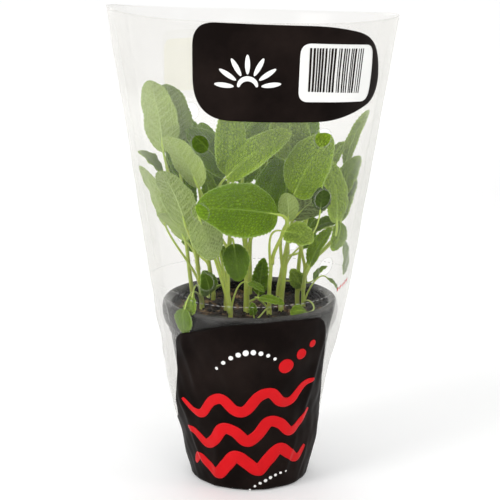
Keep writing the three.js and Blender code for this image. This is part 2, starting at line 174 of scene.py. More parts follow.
# A piece is gathered from parts, each with points, lists of faces and values for the piece's attributes.
def makePiece(name, parts, material, stands=()):
    points, faces, values, start = [], [], {}, 0
    for part in parts:
        flat = part["points"].reshape(-1, 3)
        used = np.unique(np.concatenate([group.ravel() for group in part["faces"]]))
        renumbered = np.zeros(len(flat), int)
        renumbered[used] = np.arange(len(used)) + start
        for group in part["faces"]:
            faces += renumbered[group].tolist()
        points.append(flat[used])
        for key, value in part.get("values", {}).items():
            whole = np.broadcast_to(value, part["points"].shape[:-1]).ravel()
            values.setdefault(key, []).append(whole[used])
        start += len(used)
    mesh = bpy.data.meshes.new(name)
    mesh.from_pydata((np.concatenate(points) * mm).tolist(), [], faces)
    for key, value in values.items():
        mesh.attributes.new(key, "FLOAT", "POINT").data.foreach_set("value", np.concatenate(value))
    mesh.shade_smooth()
    mesh.materials.append(material)
    piece = bpy.data.objects.new(name, mesh)
    bpy.context.scene.collection.objects.link(piece)
    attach(piece, "root")
    if stands:
        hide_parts(*stands)
    print(name, len(mesh.vertices), "points")
    return piece


# Materials: each is a small node tree, read in the object's own coordinates or from the piece's attributes.
# A socket is fed by another node's output, or holds a plain number or colour.
def feed(tree, socket, source):
    if isinstance(source, bpy.types.NodeSocket):
        tree.links.new(source, socket)
    else:
        socket.default_value = source


def addNode(tree, kind, inputs, **settings):
    node = tree.nodes.new("ShaderNode" + kind)
    for key, value in settings.items():
        setattr(node, key, value)
    for socket, source in inputs.items():
        feed(tree, node.inputs[socket], source)
    return node


def newMaterial(name, inputs):
    material = bpy.data.materials.new(name)
    material.use_nodes = True
    tree = material.node_tree
    shader = tree.nodes["Principled BSDF"]
    for socket, value in inputs.items():
        shader.inputs[socket].default_value = value
    return material, tree, shader


# Small nodes: the place, a noise, a colour ramp, an attribute, a mix, a sum, and times a number plus another.
def objectPlace(tree):
    return addNode(tree, "TexCoord", {}).outputs["Object"]


def noiseNode(tree, scale, detail=3, rough=0.55):
    inputs = {"Vector": objectPlace(tree), "Scale": scale, "Detail": detail, "Roughness": rough}
    return addNode(tree, "TexNoise", inputs).outputs["Fac"]


def rampNode(tree, source, stops):
    ramp = addNode(tree, "ValToRGB", {"Fac": source})
    elements = ramp.color_ramp.elements
    while len(elements) < len(stops):
        elements.new(0.5)
    for element, (at, colour) in zip(elements, stops):
        element.position = at
        element.color = (*colour, 1)
    return ramp.outputs["Color"]


def valueNode(tree, name):
    return addNode(tree, "Attribute", {}, attribute_name=name).outputs["Fac"]


# The two colours are each a plain colour or a node's output, and the factor is a node's output.
def mixNode(tree, factor, first, second):
    colours = [(*one, 1) if isinstance(one, tuple) else one for one in (first, second)]
    return addNode(tree, "Mix", {0: factor, 6: colours[0], 7: colours[1]}, data_type="RGBA").outputs[2]


def sumNode(tree, first, second):
    return addNode(tree, "Math", {0: first, 1: second}).outputs[0]


def scaledNode(tree, source, times, plus=0.0):
    return addNode(tree, "Math", {0: source, 1: times, 2: plus}, operation="MULTIPLY_ADD").outputs[0]


def addBump(tree, shader, height, distance, strength=1.0):
    bump = addNode(tree, "Bump", {"Strength": strength, "Distance": distance, "Height": height})
    feed(tree, shader.inputs["Normal"], bump.outputs["Normal"])


# Light goes straight through, tinted, but for the share that the shader keeps.
def seeThrough(tree, shader, share, tint):
    clear = addNode(tree, "BsdfTransparent", {"Color": (*tint, 1)})
    blend = addNode(tree, "MixShader", {0: share, 1: clear.outputs[0], 2: shader.outputs[0]})
    feed(tree, tree.nodes["Material Output"].inputs["Surface"], blend.outputs[0])


# The pot: a thin black wall turned about Z, with fine moulding rings, drain holes in its floor and a broad
# rolled lip. Its foot and its lip run as (radius, height), on the outside and on the inside.
potShape = {
    "height": 106.5, "lipRadius": 50.8, "lipHeight": 14, "lipWidest": 6.5, "lipSteps": 18,
    "baseRadius": 33, "wall": 1.3, "baseLift": 2.4, "cornerRise": 0.4, "floor": (0.6, 27.7),
    "ledgeHeight": 88, "ledgeRadius": 46.2, "ledgeStep": 0.9, "ledgeHalf": 0.6,
    "drainHoles": 6, "drainRadius": 4, "drainCircle": 20, "drainRing": 5, "drainBlend": 8,
    "columns": 144, "floorRows": 34, "wallRows": 50,
    # The lip's top, between these heights, carries a painted highlight.
    "ringPitch": 6.2, "ringDepth": 0.08, "ringLevels": (70, 78), "lipHighlightLevels": (103.8, 106),
    "footOutside": [(28.5, 0.3), (29, 0), (32.1, 0), (32.9, 0.3)],
    "footInside": [(28.5, 3.7), (29.5, 3.7), (30.3, 3.7), (31.8, 3.7)],
    "lipOutside": [(48.9, 92.7), (49.6, 93.6), (50.2, 96), (50.75, 99), (50.8, 101.3), (50.4, 103.7),
                   (49.6, 105.5), (48.9, 106.2), (48.3, 106.5)],
    "lipInside": [(47.6, 99.4), (47.3, 100.6), (45.7, 102), (44.95, 103), (44.8, 103.9), (45.1, 104.7),
                  (46, 105.4), (47.2, 106.1), (48, 106.45)],
}


# The wall's outer radius widens evenly, with a small step out at the ledge.
def potRadius(z):
    p = potShape
    slope = (p["ledgeRadius"] - p["baseRadius"]) / p["ledgeHeight"]
    ledge = smoothStep(p["ledgeHeight"] - p["ledgeHalf"], p["ledgeHeight"] + p["ledgeHalf"], z)
    return p["baseRadius"] + slope * z + p["ledgeStep"] * ledge


# The growing medium. Lumps are (size, rise, seed), and waves (longest, shortest, count, seed).
soilShape = {
    "top": 97.5, "bump": 1.3, "clear": 0.35, "rings": 60, "columns": 220, "hub": 1.0, "footShare": 0.6,
    "sideLevels": (50, 87), "innermost": 0.015, "lumps": [(5.5, 1.3, 5), (2.1, 0.7, 6)],
    "grainRise": 0.35, "grainWaves": (9, 2.5, 8, 21), "toneWaves": (30, 3, 7, 22),
}


# Its surface height, without lumps: two slow sine patterns across x and y.
def soilHeight(x, y):
    broad = np.sin(0.23 * x + 1.3) * np.cos(0.19 * y) + 0.6 * np.sin(0.41 * y - 0.17 * x + 0.5)
    return soilShape["top"] + soilShape["bump"] * broad


# The film: one cone from the pot's foot to where it passes the lip, and a wider one up to the mouth. Its plan
# is slightly oval. Its mouth slants down to the right and comes up to a corner over each side seam. It leans
# along X by an amount for each level, stays a gap off the pot, and dents inwards only so far.
filmShape = {
    "foot": 0.6, "footRadius": 34.1, "seatHeight": 100, "seatRadius": 53.3, "seatOval": 1.6,
    "top": 269, "topRadius": 80, "topOval": 0.8, "topSlant": 2, "leftCorner": 3.6, "rightCorner": 2.6,
    "leanLevels": [0, 50, 110, 269], "leans": [0, -2.0, 0.3, 1.6], "solidWall": 0.5, "solidSides": 48,
    "thick": 0.12, "columns": 264, "rows": 132, "seam": (0.905, 0.925),
    "ventRadius": 5, "ventRing": 3, "ventBlend": 7,
    "potGap": 0.45, "lipEdge": 1.5, "lipBlend": 1, "dent": 0.3, "dentAtPot": 9,
    "foldChart": 52.0, "foldFade": (-0.12, 0.25),
    "tight": 0.22, "loose": 0.3, "looseLevels": (88, 112), "slowWaves": (70, 16, 9, 11),
    "fine": 0.2, "fineWaves": (15, 6, 8, 12),
}

# Vent holes as degrees from the front and height, and the same six again at the back.
vents = [(-22.9, 204), (-25.5, 166.5), (-25.8, 127.5), (31.8, 206.7), (35.9, 173.2), (44, 134)]
vents += [(front + 180, height) for front, height in vents]

# Folds in the film: each runs from (degrees, height) to (degrees, height), with its half width and its rise.
folds = [
    [(-47, 92), (-38, 62), 2.6, 0.9],
    [(-30, 96), (-8, 60), 4.5, 1.0],
    [(-16, 100), (6, 74), 3.0, 0.7],
    [(22, 102), (38, 66), 3.6, 0.8],
    [(54, 96), (47, 40), 2.4, 0.7],
    [(-56, 60), (-46, 12), 2.6, 0.9],
    [(-20, 44), (-34, 6), 3.0, 0.7],
    [(2, 30), (14, 4), 3.2, 0.7],
    [(44, 34), (30, 6), 2.4, 0.8],
    [(60, 30), (52, 4), 2.2, 0.5],
    [(57, 120), (58, 80), 1.5, 0.8],
    [(-66, 262), (-62, 120), 1.4, 0.45],
    [(66, 262), (62, 120), 1.4, 0.45],
]


# The share of the upper cone's height that lies under a level.
def aboveSeat(level):
    f = filmShape
    return (level - f["seatHeight"]) / (f["top"] - f["seatHeight"])


# The plain cone's radius: both it and its oval's depth run evenly from the foot to the seat, where the film
# passes the lip, and on to the mouth. The oval takes its depth times the cosine of twice the angle away.
def sleeveRadius(angle, level):
    f = filmShape
    belowShare = (level - f["foot"]) / (f["seatHeight"] - f["foot"])
    low = level < f["seatHeight"]
    cone, oval = (
        np.where(low, mix(foot, f[seat], belowShare), mix(f[seat], f[top], aboveSeat(level)))
        for foot, seat, top in ((f["footRadius"], "seatRadius", "topRadius"), (0, "seatOval", "topOval"))
    )
    return cone - oval * np.cos(2 * angle)


# Millimetres of film to a radian at a level, between the front and a seam.
def filmChart(level):
    return float(sleeveRadius(0.5, level))


# How far the mouth's slant lowers a point: with the sine of its angle, from nothing at the left, less a
# corner over each seam that grows with the sine's fourth power. Both die away down to the seat.
def slantDrop(angle, level):
    f = filmShape
    share = np.clip(aboveSeat(level), 0, 1)
    right = 1 + np.sin(angle)
    corner = mix(f["leftCorner"], f["rightCorner"], right / 2) * np.sin(angle) ** 4
    return share * f["topSlant"] * right - share**2 * corner


# The level whose slanted height is the height given.
def levelAt(angle, z):
    return z + slantDrop(angle, z)


def filmLean(level):
    return np.interp(level, filmShape["leanLevels"], filmShape["leans"])


# The point at an angle from the front, a radius from the axis and a height.
def around(radius, angle, z):
    return np.stack([radius * np.sin(angle), -radius * np.cos(angle), z + 0 * angle], -1)


# How far the film stands out of its plain cone: the listed folds, each a soft ridge with a bell-shaped
# section that dies away at its ends, and gentle waves that are deeper where it hangs loose about the pot.
def filmRise(angle, level):
    f = filmShape
    rise = np.zeros(np.broadcast(angle, level).shape)
    for (startTurn, startLevel), (endTurn, endLevel), width, height in folds:
        a0, a1 = math.radians(startTurn), math.radians(endTurn)
        x, z = wrapped(angle - a0) * f["foldChart"], level - startLevel
        runX, runZ = (a1 - a0) * f["foldChart"], endLevel - startLevel
        square = runX**2 + runZ**2
        share = (x * runX + z * runZ) / square
        away = (x * runZ - z * runX) / math.sqrt(square)
        ends = smoothStep(*f["foldFade"], share) * smoothStep(*f["foldFade"], 1 - share)
        rise += height * np.exp(-((away / width) ** 2)) * ends
    plain = around(sleeveRadius(angle, level), angle, level)
    loose = 1 - smoothStep(*f["looseLevels"], level)
    rise += (f["tight"] + f["loose"] * loose) * waves(plain, *f["slowWaves"])
    return rise + f["fine"] * loose * waves(plain * [1, 1, 0.6], *f["fineWaves"])


# A point of the film: its cone with its rise, slanted and leaning, but never nearer to the axis than the pot
# or its lip with the gap. The lift moves it along its radius.
def filmPoint(angle, level, lift=0.0):
    f, p = filmShape, potShape
    nominal = sleeveRadius(angle, level)
    under, widest = p["height"] - p["lipHeight"], p["height"] - p["lipWidest"]
    lipSide = [0, p["lipRadius"] - f["lipEdge"], p["lipRadius"]]
    lip = np.interp(level, [under - f["lipBlend"], under + f["lipBlend"], widest], lipSide)
    atPot = level < p["height"] + f["lipBlend"]
    floor = np.where(atPot, np.maximum(potRadius(level), lip) + f["potGap"], 0)
    radius = np.maximum(nominal + filmRise(angle, level), nominal - f["dent"] - f["dentAtPot"] * atPot)
    points = around(radius, angle, level - slantDrop(angle, level))
    points[..., 0] += filmLean(level)
    distance = np.hypot(points[..., 0], points[..., 1])
    return spread(points, (np.maximum(distance, floor) + lift) / distance)


# Points that would come nearer to the film than the margin are moved in towards the axis.
def insideFilm(points, margin):
    f = filmShape
    middle = np.stack([filmLean(points[..., 2]), 0 * points[..., 1], 0 * points[..., 2]], -1)
    out = points - middle
    angle = np.arctan2(out[..., 0], -out[..., 1])
    wall = sleeveRadius(angle, points[..., 2]) * math.cos(math.pi / f["solidSides"]) - f["solidWall"]
    distance = np.maximum(np.hypot(out[..., 0], out[..., 1]), 1e-6)
    return middle + spread(out, np.minimum(1, (wall - margin) / distance))


# Bends the lines of a wrapped grid round each hole: the square ring of grid points nearest the hole moves
# onto its circle, and the rings outside it follow less and less. The cells inside it aren't kept.
def cutHoles(turn, level, spots, holeRadius, ring, blendRing):
    rows, columns = turn.shape
    keep = np.ones((rows - 1, columns), bool)
    row, column = np.meshgrid(np.arange(rows), np.arange(columns), indexing="ij")
    levels, pitch = level[:, 0].copy(), fullTurn / columns
    for spotTurn, spotLevel, radius in spots:
        across = (column - round(spotTurn / pitch) + columns // 2) % columns - columns // 2
        up = row - np.argmin(np.abs(levels - spotLevel))
        away = np.maximum(np.abs(across), np.abs(up))
        share = np.clip((blendRing - away) / (blendRing - ring), 0, 1)
        reach = holeRadius * away / ring / np.maximum(np.hypot(across, up), 1)
        turn = turn + share * wrapped(spotTurn + reach * across / radius - turn)
        level = level + share * (spotLevel + reach * up - level)
        inside = (across >= -ring) & (across < ring) & (up >= -ring) & (up < ring)
        keep &= ~inside[:-1]
    return turn, level, keep


# The pot's outer and inner profiles, from the middle of its floor to its lip.
def potProfile():
    p = potShape
    across = np.linspace(*p["floor"], p["floorRows"])
    up = np.linspace(1, p["height"] - p["lipHeight"], p["wallRows"])
    ringed = p["ringDepth"] * np.sin(fullTurn * up / p["ringPitch"]) * smoothStep(*p["ringLevels"], up)
    lift = p["baseLift"] + p["wall"]
    risen = np.maximum(up, lift + p["cornerRise"])
    sides = (
        ("Outside", p["baseLift"], potRadius(up) + ringed, up),
        ("Inside", lift, potRadius(risen) - p["wall"], risen),
    )
    profiles = []
    for side, base, wall, heights in sides:
        lip = smoothCurve(p["lip" + side], p["lipSteps"])
        floor = zip(across, 0 * across + base)
        profiles.append(np.array([*floor, *p["foot" + side], *zip(wall, heights), *lip]))
    return profiles


# The pot's wall: both profiles carried round the axis, with the drain holes let into the floor.
def makePot(material):
    p = potShape
    outer, inner = potProfile()
    turn = turnGrid(len(outer), p["columns"])
    radius = np.tile(outer[:, :1], (1, p["columns"]))
    holes = (np.arange(p["drainHoles"]) + 0.5) / p["drainHoles"]
    spots = [(fullTurn * share, p["drainCircle"], p["drainCircle"]) for share in holes]
    turn, moved, keep = cutHoles(turn, radius, spots, p["drainRadius"], p["drainRing"], p["drainBlend"])
    shift = moved - radius
    grids = np.stack([around(profile[:, :1] + shift, turn, profile[:, 1:]) for profile in (outer, inner)])
    faces = wallFaces(*turn.shape, wrap=True, keep=keep, fillStart=True)
    # The ridge value marks the lip's top, where the pot's colour is lightened as a painted highlight.
    part = {"points": grids, "faces": faces, "values": {"ridge": smoothStep(*p["lipHighlightLevels"], grids[..., 2])}}
    return makePiece("potShell", [part], material, ["pot"])


# The growing medium: a plug turned about Z whose top is a height field of broad waves, lumps and grain.
def makeSoil(material):
    s, p = soilShape, potShape
    low = p["baseLift"] + p["wall"] + s["clear"]
    wall = lambda z: potRadius(z) - p["wall"] - s["clear"]
    sides = [(s["hub"], low), (wall(low) * s["footShare"], low)]
    sides += [(wall(z), z) for z in (low, *s["sideLevels"])]
    radii = [r for r, z in sides] + list(wall(s["top"]) * np.linspace(1, s["innermost"], s["rings"]))
    turn = turnGrid(len(radii), s["columns"])
    points = around(np.array(radii)[:, None] * np.ones_like(turn), turn, np.zeros_like(turn))
    x, y = points[..., 0], points[..., 1]
    height = soilHeight(x, y)
    for size, rise, seed in s["lumps"]:
        height += rise * (0.5 - cellDistances(x, y, size, seed)[0] / size)
    height += s["grainRise"] * waves(points, *s["grainWaves"])
    points[..., 2] = height
    points[: len(sides), :, 2] = np.array([z for r, z in sides])[:, None]
    tone = 0.5 + 0.5 * waves(points, *s["toneWaves"])
    part = {"points": points, "faces": tubeFaces(*turn.shape), "values": {"tone": tone}}
    return makePiece("compostPlug", [part], material, ["growing_medium"])


# Loose crumbs on the medium: lumps of four six-sided rings (radius, height), each squashed, turned and sunk a
# little by the draw.
crumbSet = {
    "count": 420, "reach": 46, "smallest": 0.45, "largest": 1.5, "sizePower": 2.5, "seed": 31,
    "rings": [[0.45, -0.8], [1, -0.3], [0.95, 0.35], [0.4, 0.85]], "squash": (0.6, 1),
    "uneven": (0.75, 1.25), "proud": 0.5, "paleShare": 0.12, "pale": (0.55, 1), "dark": (0, 0.4),
}


def makeCrumbs(material):
    c = crumbSet
    draw = np.random.default_rng(c["seed"])
    rings, turn = np.array(c["rings"]), np.linspace(0, fullTurn, 6, endpoint=False)
    base = np.stack([rings[:, :1] * np.cos(turn), rings[:, :1] * np.sin(turn), rings[:, 1:] + 0 * turn], -1)
    parts = []
    for _ in range(c["count"]):
        distance, heading = c["reach"] * math.sqrt(draw.uniform()), draw.uniform(0, fullTurn)
        x, y = distance * math.cos(heading), distance * math.sin(heading)
        size = mix(c["smallest"], c["largest"], draw.uniform() ** c["sizePower"])
        spin = np.linalg.qr(draw.normal(size=(3, 3)))[0]
        spin *= np.sign(np.linalg.det(spin))
        lump = (base * draw.uniform(*c["uneven"], base.shape) * size * draw.uniform(*c["squash"], 3)) @ spin.T
        lump += [x, y, soilHeight(x, y) + c["proud"] * size]
        tone = draw.uniform(*c["pale" if draw.uniform() < c["paleShare"] else "dark"])
        parts.append({"points": lump, "faces": tubeFaces(4, 6), "values": {"tone": tone}})
    return makePiece("compostCrumbs", parts, material)


# Milky shares of the film: condensation that thickens towards the mouth, a slightly milky side at the left
# over the pot, and a loose strip past the crease at the right, milkiest beside the pot's lip. Each fades in
# and out between two numbers of degrees or levels.
mistLook = {
    "high": 0.042, "highLevels": (165, 230),
    "left": 0.004, "leftStart": (-25, -42), "leftEnd": (-115, -80), "leftLevels": (105, 130),
    "right": 0.05, "rightStart": (55, 59), "rightEnd": (100, 70),
    "lip": 0.17, "lipFoot": (86, 95), "lipTop": (130, 112),
}


def filmMist(degrees, level):
    m = mistLook
    high = m["high"] * smoothStep(*m["highLevels"], level)
    left = m["left"] * smoothStep(*m["leftStart"], degrees) * smoothStep(*m["leftEnd"], degrees)
    strip = smoothStep(*m["rightStart"], degrees) * smoothStep(*m["rightEnd"], degrees)
    lip = m["lip"] * smoothStep(*m["lipFoot"], level) * smoothStep(*m["lipTop"], level)
    return high + left * smoothStep(*m["leftLevels"], level) + strip * (m["right"] + lip)


# The sleeve: the film's point for every angle and level on a grid, doubled inwards by its thickness.
def makeSleeve(material):
    f = filmShape
    turn = turnGrid(f["rows"], f["columns"])
    level = np.linspace(f["foot"], f["top"], f["rows"])[:, None] + 0 * turn
    spots = []
    for degrees, z in vents:
        angle = math.radians(degrees) % fullTurn
        spots.append((angle, float(levelAt(angle, z)), float(sleeveRadius(angle, z))))
    turn, level, keep = cutHoles(turn, level, spots, f["ventRadius"], f["ventRing"], f["ventBlend"])
    values = {
        "seam": smoothStep(*f["seam"], np.abs(np.sin(turn))),
        "mist": filmMist(np.degrees(wrapped(turn)), level),
    }
    part = {
        "points": np.stack([filmPoint(turn, level), filmPoint(turn, level, -f["thick"])]),
        "faces": wallFaces(*turn.shape, wrap=True, keep=keep),
        "values": {key: np.stack([value, value]) for key, value in values.items()},
    }
    return makePiece("filmSleeve", [part], material, ["sleeve"])


# A leaf: where its stalk leaves the stem (as a share of the stem's length), the blade's heel and tip, its
# width, the way its upper face looks, how far the midrib arches towards that face, how many degrees the two
# halves fold up, the stalk's radius and its tone, from a dark green below 0 to a pale one at 1 and over. The
# tone is partly the leaf's own colour and partly painted light and shade: leaves that lie lit are set paler
# and leaves that lie in shade darker.
def leaf(at, heel, tip, wide, face, bow, fold, stalk, tone=0.52):
    place = {"at": at, "heel": heel, "tip": tip, "face": face}
    return {**place, "wide": wide, "bow": bow, "fold": fold, "stalk": stalk, "tone": tone}


# Each plant's main stem runs through points from the soil up. Its girth is its radius, where it isn't the
# usual one.
plants = {
    "left_front": {"stem": [[-28, 2, 97], [-29, -3, 116], [-31, -9, 136]], "leaves": [
        leaf(1.0, [-47, -31, 195], [-53, -43, 235], 22, [3, 8, 3], 3, 14, 0.9, 0.6),
        leaf(0.9, [-41, -20, 196], [-45, -32, 232], 22, [2, 8, 3], 3, 10, 0.9, 0.4),
        leaf(0.7, [-28, -34, 176], [-45, -48, 206], 19, [4, 8, 4], 3, 12, 1, 0.72),
        leaf(0.5, [-35, -28, 152], [-48, -44, 187], 22, [4, 8, 2], 3, 12, 1, 0.2),
        leaf(0.15, [-48, -6, 149], [-62, -8, 184], 15, [7, 6, 3], 2, 12, 0.8, 0.5),
        leaf(0.8, [-36, -14, 142], [-51, -24, 160], 16, [3, 6, 6], 3, 12, 0.9),
        leaf(0.06, [-32, -32.5, 114], [-33.6, -37.2, 102.5], 8, [-4, -9, 1], 1, 14, 0.6, 0.9),
        leaf(0.04, [-36, -36.6, 108.5], [-39, -38.5, 94], 13.5, [-6, -6, 3], 1.5, 0, 0.6, 0.5),
        leaf(0.25, [-23, -22, 113], [-26, -32, 129], 12, [3, -8, 3], 2, 12, 0.7, 0.1),
    ]},
    "left_side": {"stem": [[-34, 16, 97], [-36, 14, 122], [-38, 10, 146]], "leaves": [
        leaf(1.0, [-50, 8, 176], [-64, 6, 190], 15, [3, -2, 8], 2, 12, 0.8, 1),
        leaf(0.8, [-44, 16, 150], [-60, 20, 168], 18, [6, -1, 7], 3, 12, 0.9),
        leaf(1.0, [-40, 8, 176], [-50, 14, 216], 20, [5, -6, 2], 3, 12, 0.9),
    ]},
    "middle_front": {"stem": [[-11, -20, 97], [-11.5, -20.5, 102], [-12, -21, 107]], "leaves": [
        leaf(0.75, [-28, -37, 161], [-20, -44, 138], 19, [1, 9, 2], 2, 8, 0.9, 0.0),
        leaf(0.9, [-22, -26, 165], [-25, -28, 184], 10, [5, -8, 2], 1, 18, 0.8),
        leaf(0.8, [-9, -26, 143], [-6, -32, 123], 15, [0, -9, 2], 2, 10, 0.9, 0.25),
        leaf(0.4, [-1, -15, 118], [8, -20, 114], 6, [2, -4, 8], 1, 10, 0.6),
        leaf(0.6, [-19, -10, 146], [-14, -9, 176], 15, [3, -8, 1], 2, 10, 0.9),
    ]},
    "middle": {"girth": 2.3, "stem": [[-2, -3, 97], [-2, -5, 122], [-3, -9, 144]], "leaves": [
        leaf(1.0, [-12, -27, 182], [-10, -40, 225], 17, [1, -9, 3], 3, 10, 1, 0.9),
        leaf(0.95, [-13, -32, 181], [22, -45, 208], 19, [-3, -8, 5], 4, 12, 1, 0.95),
        leaf(0.12, [5, 4, 106], [8, 0, 129], 10, [-2, -9, 2], 1, 14, 0.7),
        leaf(0.9, [22, -16, 188], [21, -30, 224], 23, [0, -9, 4], 3, 8, 1, 1.2),
        leaf(0.7, [7, -14, 157], [17, -14, 190], 18, [-1, -9, 1], 2, 10, 0.9),
        leaf(1.0, [-13, -14, 180], [-35, -26, 207], 20, [1, -7, 6], 3, 10, 0.9, 0.45),
        leaf(1.0, [0, -7, 190], [13, -9, 213], 18, [-1, -9, 3], 2, 10, 0.9, 0.8),
    ]},
    "right_front": {"stem": [[11, -10, 97], [11, -14, 114], [12, -19, 130]], "leaves": [
        leaf(1.0, [15, -39, 162], [-29, -53, 168], 31, [0, -8, 4], 4, 7, 1.1, 0.5),
        leaf(0.75, [19, -41, 153], [34, -48, 149], 16, [1, -6, 6], 2, 12, 0.8, 1.2),
        leaf(0.12, [5, -26, 112], [19, -32, 110], 7, [0, -4, 8], 1, 12, 0.6, 0.7),
        leaf(0.14, [2, -34, 104], [1, -36, 112], 5, [2, -9, 1], 0.5, 16, 0.6),
    ]},
    "right_middle": {"girth": 2.1, "stem": [[18, -2, 97], [19, -5, 116], [21, -10, 134]], "leaves": [
        leaf(1.0, [24, -30, 171], [43, -42, 206], 27, [-3, -9, 4], 4, 8, 1, 0.95),
        # This leaf has a dark tone as painted shade: the deep shadow seen through the vent in front of it.
        leaf(0.5, [24, -14, 155], [53, -15, 175], 24, [-1, 7, 5], 3, 8, 1, -0.2),
        leaf(0.75, [21, -30, 157], [20, -33, 173], 12, [2, 8, -2], 2, 14, 0.8, 0.45),
        # A small near-black leaf set just behind the vent: painted shade standing in for the deep shadow seen
        # through it.
        leaf(0.65, [37.8, -44, 165.5], [38.8, -44.5, 178.5], 10.5, [1, -9, 1], 0.5, 4, 0.6, -0.8),
    ]},
    "right_side": {"stem": [[31, 5, 97], [31, 3, 110], [32, 0, 122]], "leaves": [
        leaf(0.6, [34, -8, 126], [46, -16, 150], 11, [-6, -7, 3], 2, 30, 1, 0.8),
        leaf(0.9, [33, -6, 145], [51, -10, 153], 12, [-2, -4, 8], 2, 16, 0.9, 0.6),
        leaf(1.0, [51, -15, 153], [46, -22, 138], 10, [4, -7, 3], 2, 14, 0.6, 0.9),
        leaf(0.7, [54, 2, 139], [54, 0, 119], 8, [8, -5, 1], 1, 16, 0.6),
        leaf(0.8, [48, -25, 155], [42, -34, 192], 15, [4, -8, 1], 3, 14, 0.9, 1),
        leaf(0.18, [32, -25.5, 103.4], [22.5, -29, 103.6], 10, [0, -5, 8], 2, 6, 0.6, 0.9),
        leaf(0.12, [45, 4, 116], [51, 4, 109], 5, [6, -2, 5], 1, 10, 0.6),
    ]},
    "right_back": {"stem": [[28, 17, 97], [29, 16, 124], [33, 14, 150]], "leaves": [
        leaf(0.15, [31, 14, 108], [24, 10, 120], 10, [-3, -6, 6], 2, 12, 0.7, 1.2),
        leaf(1.0, [44, 13, 178], [55, 17, 194], 9, [-4, -8, 4], 2, 12, 0.7, 1.2),
        leaf(0.8, [52, 4, 150], [61, 7, 174], 12, [-6, -6, 3], 2, 14, 0.8, 1.1),
        leaf(0.95, [51, 6, 163], [63, 9, 187], 14, [-5, -7, 4], 2, 14, 0.8, 1.0),
        leaf(1.0, [55, 14, 180], [68, 12, 213], 9, [-6, -7, 3], 3, 18, 0.8, 1.3),
    ]},
    "left_back": {"stem": [[-22, 24, 97], [-25, 26, 124], [-28, 27, 148]], "leaves": [
        leaf(0.9, [-36, 34, 150], [-50, 43, 182], 22, [6, -5, 5], 3, 10, 1),
        leaf(1.0, [-24, 40, 164], [-29, 54, 198], 21, [2, -7, 5], 3, 10, 1),
        leaf(0.4, [-32, 36, 124], [-39, 45, 134], 15, [1, -2, 9], 2, 8, 0.8),
        leaf(1.0, [-32, 28, 174], [-42, 33, 210], 20, [5, -6, 3], 3, 14, 1),
        leaf(0.15, [-22, 10, 107], [-19, -3, 113], 9, [0, -3, 9], 1, 10, 0.7, 1),
    ]},
    "back": {"stem": [[0, 32, 97], [0, 34, 128], [2, 33, 158]], "leaves": [
        leaf(0.6, [-4, 47, 140], [-7, 59, 162], 21, [0, -6, 7], 3, 10, 1),
        leaf(1.0, [6, 44, 166], [8, 60, 200], 20, [0, -7, 5], 3, 12, 1),
        leaf(0.7, [15, 46, 146], [29, 53, 174], 18, [-3, -6, 6], 3, 10, 1),
        leaf(1.0, [-7, 28, 182], [-13, 35, 222], 19, [1, -8, 3], 3, 12, 1, 0.8),
        leaf(0.95, [10, 27, 178], [18, 33, 216], 19, [-2, -8, 4], 3, 12, 1, 0.8),
        leaf(0.3, [-12, 42, 116], [-20, 45, 126], 12, [1, -3, 8], 2, 8, 0.7),
    ]},
    "back_right": {"stem": [[17, 28, 97], [20, 29, 120], [25, 28, 145]], "leaves": [
        leaf(0.9, [37, 31, 150], [49, 39, 182], 21, [-6, -5, 5], 3, 10, 1),
        leaf(1.0, [29, 25, 174], [38, 31, 210], 20, [-4, -6, 5], 3, 12, 1, 0.6),
        leaf(0.5, [32, 38, 126], [39, 46, 144], 16, [-4, -5, 7], 2, 8, 0.8),
        leaf(0.2, [38, 24, 110], [46, 26, 118], 9, [-4, -1, 8], 1.5, 8, 0.6),
    ]},
    "centre": {"stem": [[-14, 6, 97], [-13, 8, 124], [-11, 10, 152]], "leaves": [
        leaf(1.0, [-4, 12, 170], [2, 17, 206], 19, [-1, -8, 4], 3, 10, 1),
        leaf(1.0, [-21, 8, 168], [-28, 10, 206], 20, [4, -8, 3], 3, 10, 1),
        leaf(0.6, [-17, 17, 140], [-15, 26, 158], 15, [0, -6, 6], 2, 8, 0.9),
    ]},
}

bladeShape = {
    "step": 0.55, "fewest": (14, 10), "endRows": 0.6, "ends": (0.002, 0.9985), "endFade": 3,
    "heelPower": 0.84, "fullness": 0.52, "thick": 0.5, "edgeThin": 0.6, "clear": 0.35,
    "ripple": 0.05, "ripplePace": 9, "camber": 0.1, "margin": 0.0315, "marginWaves": (2.2, 1.4),
    "toothPitch": 2.3, "toothDepth": 0.8, "toothPower": 0.8, "toothLevel": 0.6,
    "wobble": 0.03, "wobbleWaves": 1.4, "foldRadius": 0.9,
    "veinPairs": 10, "veinSpacing": 2.1, "veinRise": 0.55, "veinBend": 0.22, "veinWidth": 0.42,
    "veinSquare": 0.85, "midrib": (0.45, 0.2), "midribSunk": 0.28, "midribProud": 0.6,
    "quilt": 0.26, "quiltLength": 30, "quiltFrom": 2.2, "groove": 0.14, "ridge": 0.2, "net": 0.14,
    "cell": 1.55, "cellLength": 38, "cellSizes": (0.7, 1.15), "cellRise": 0.36, "valley": 0.55,
    "paleMidrib": (0.9, 0.3), "paleVein": 0.12, "paleUnder": (0.6, 0.55), "veinPitShade": 0.4, "toneDraw": 0.12,
}


# The blade's own directions: along the midrib, towards its upper face and across.
def bladeFrame(one):
    heel, tip, face = (np.array(one[key], float) for key in ("heel", "tip", "face"))
    length = np.linalg.norm(tip - heel)
    along = (tip - heel) / length
    face = unit(face - (face @ along) * along)
    return heel, along, face, np.cross(face, along), length


# The midrib runs straight from heel to tip and arches towards the face by 4 u (1 - u) times its bow.
def midribPoint(one, u):
    heel, along, face, across, length = bladeFrame(one)
    u = np.asarray(u, float)[..., None]
    return heel + along * length * u + face * one["bow"] * 4 * u * (1 - u)


# Share of the full width along the blade, a power of the sine of half a turn times a power of u: rounded
# heel, fullest before the middle, blunt tip.
def bladeOutline(u):
    return np.sin(math.pi * u ** bladeShape["heelPower"]) ** bladeShape["fullness"]


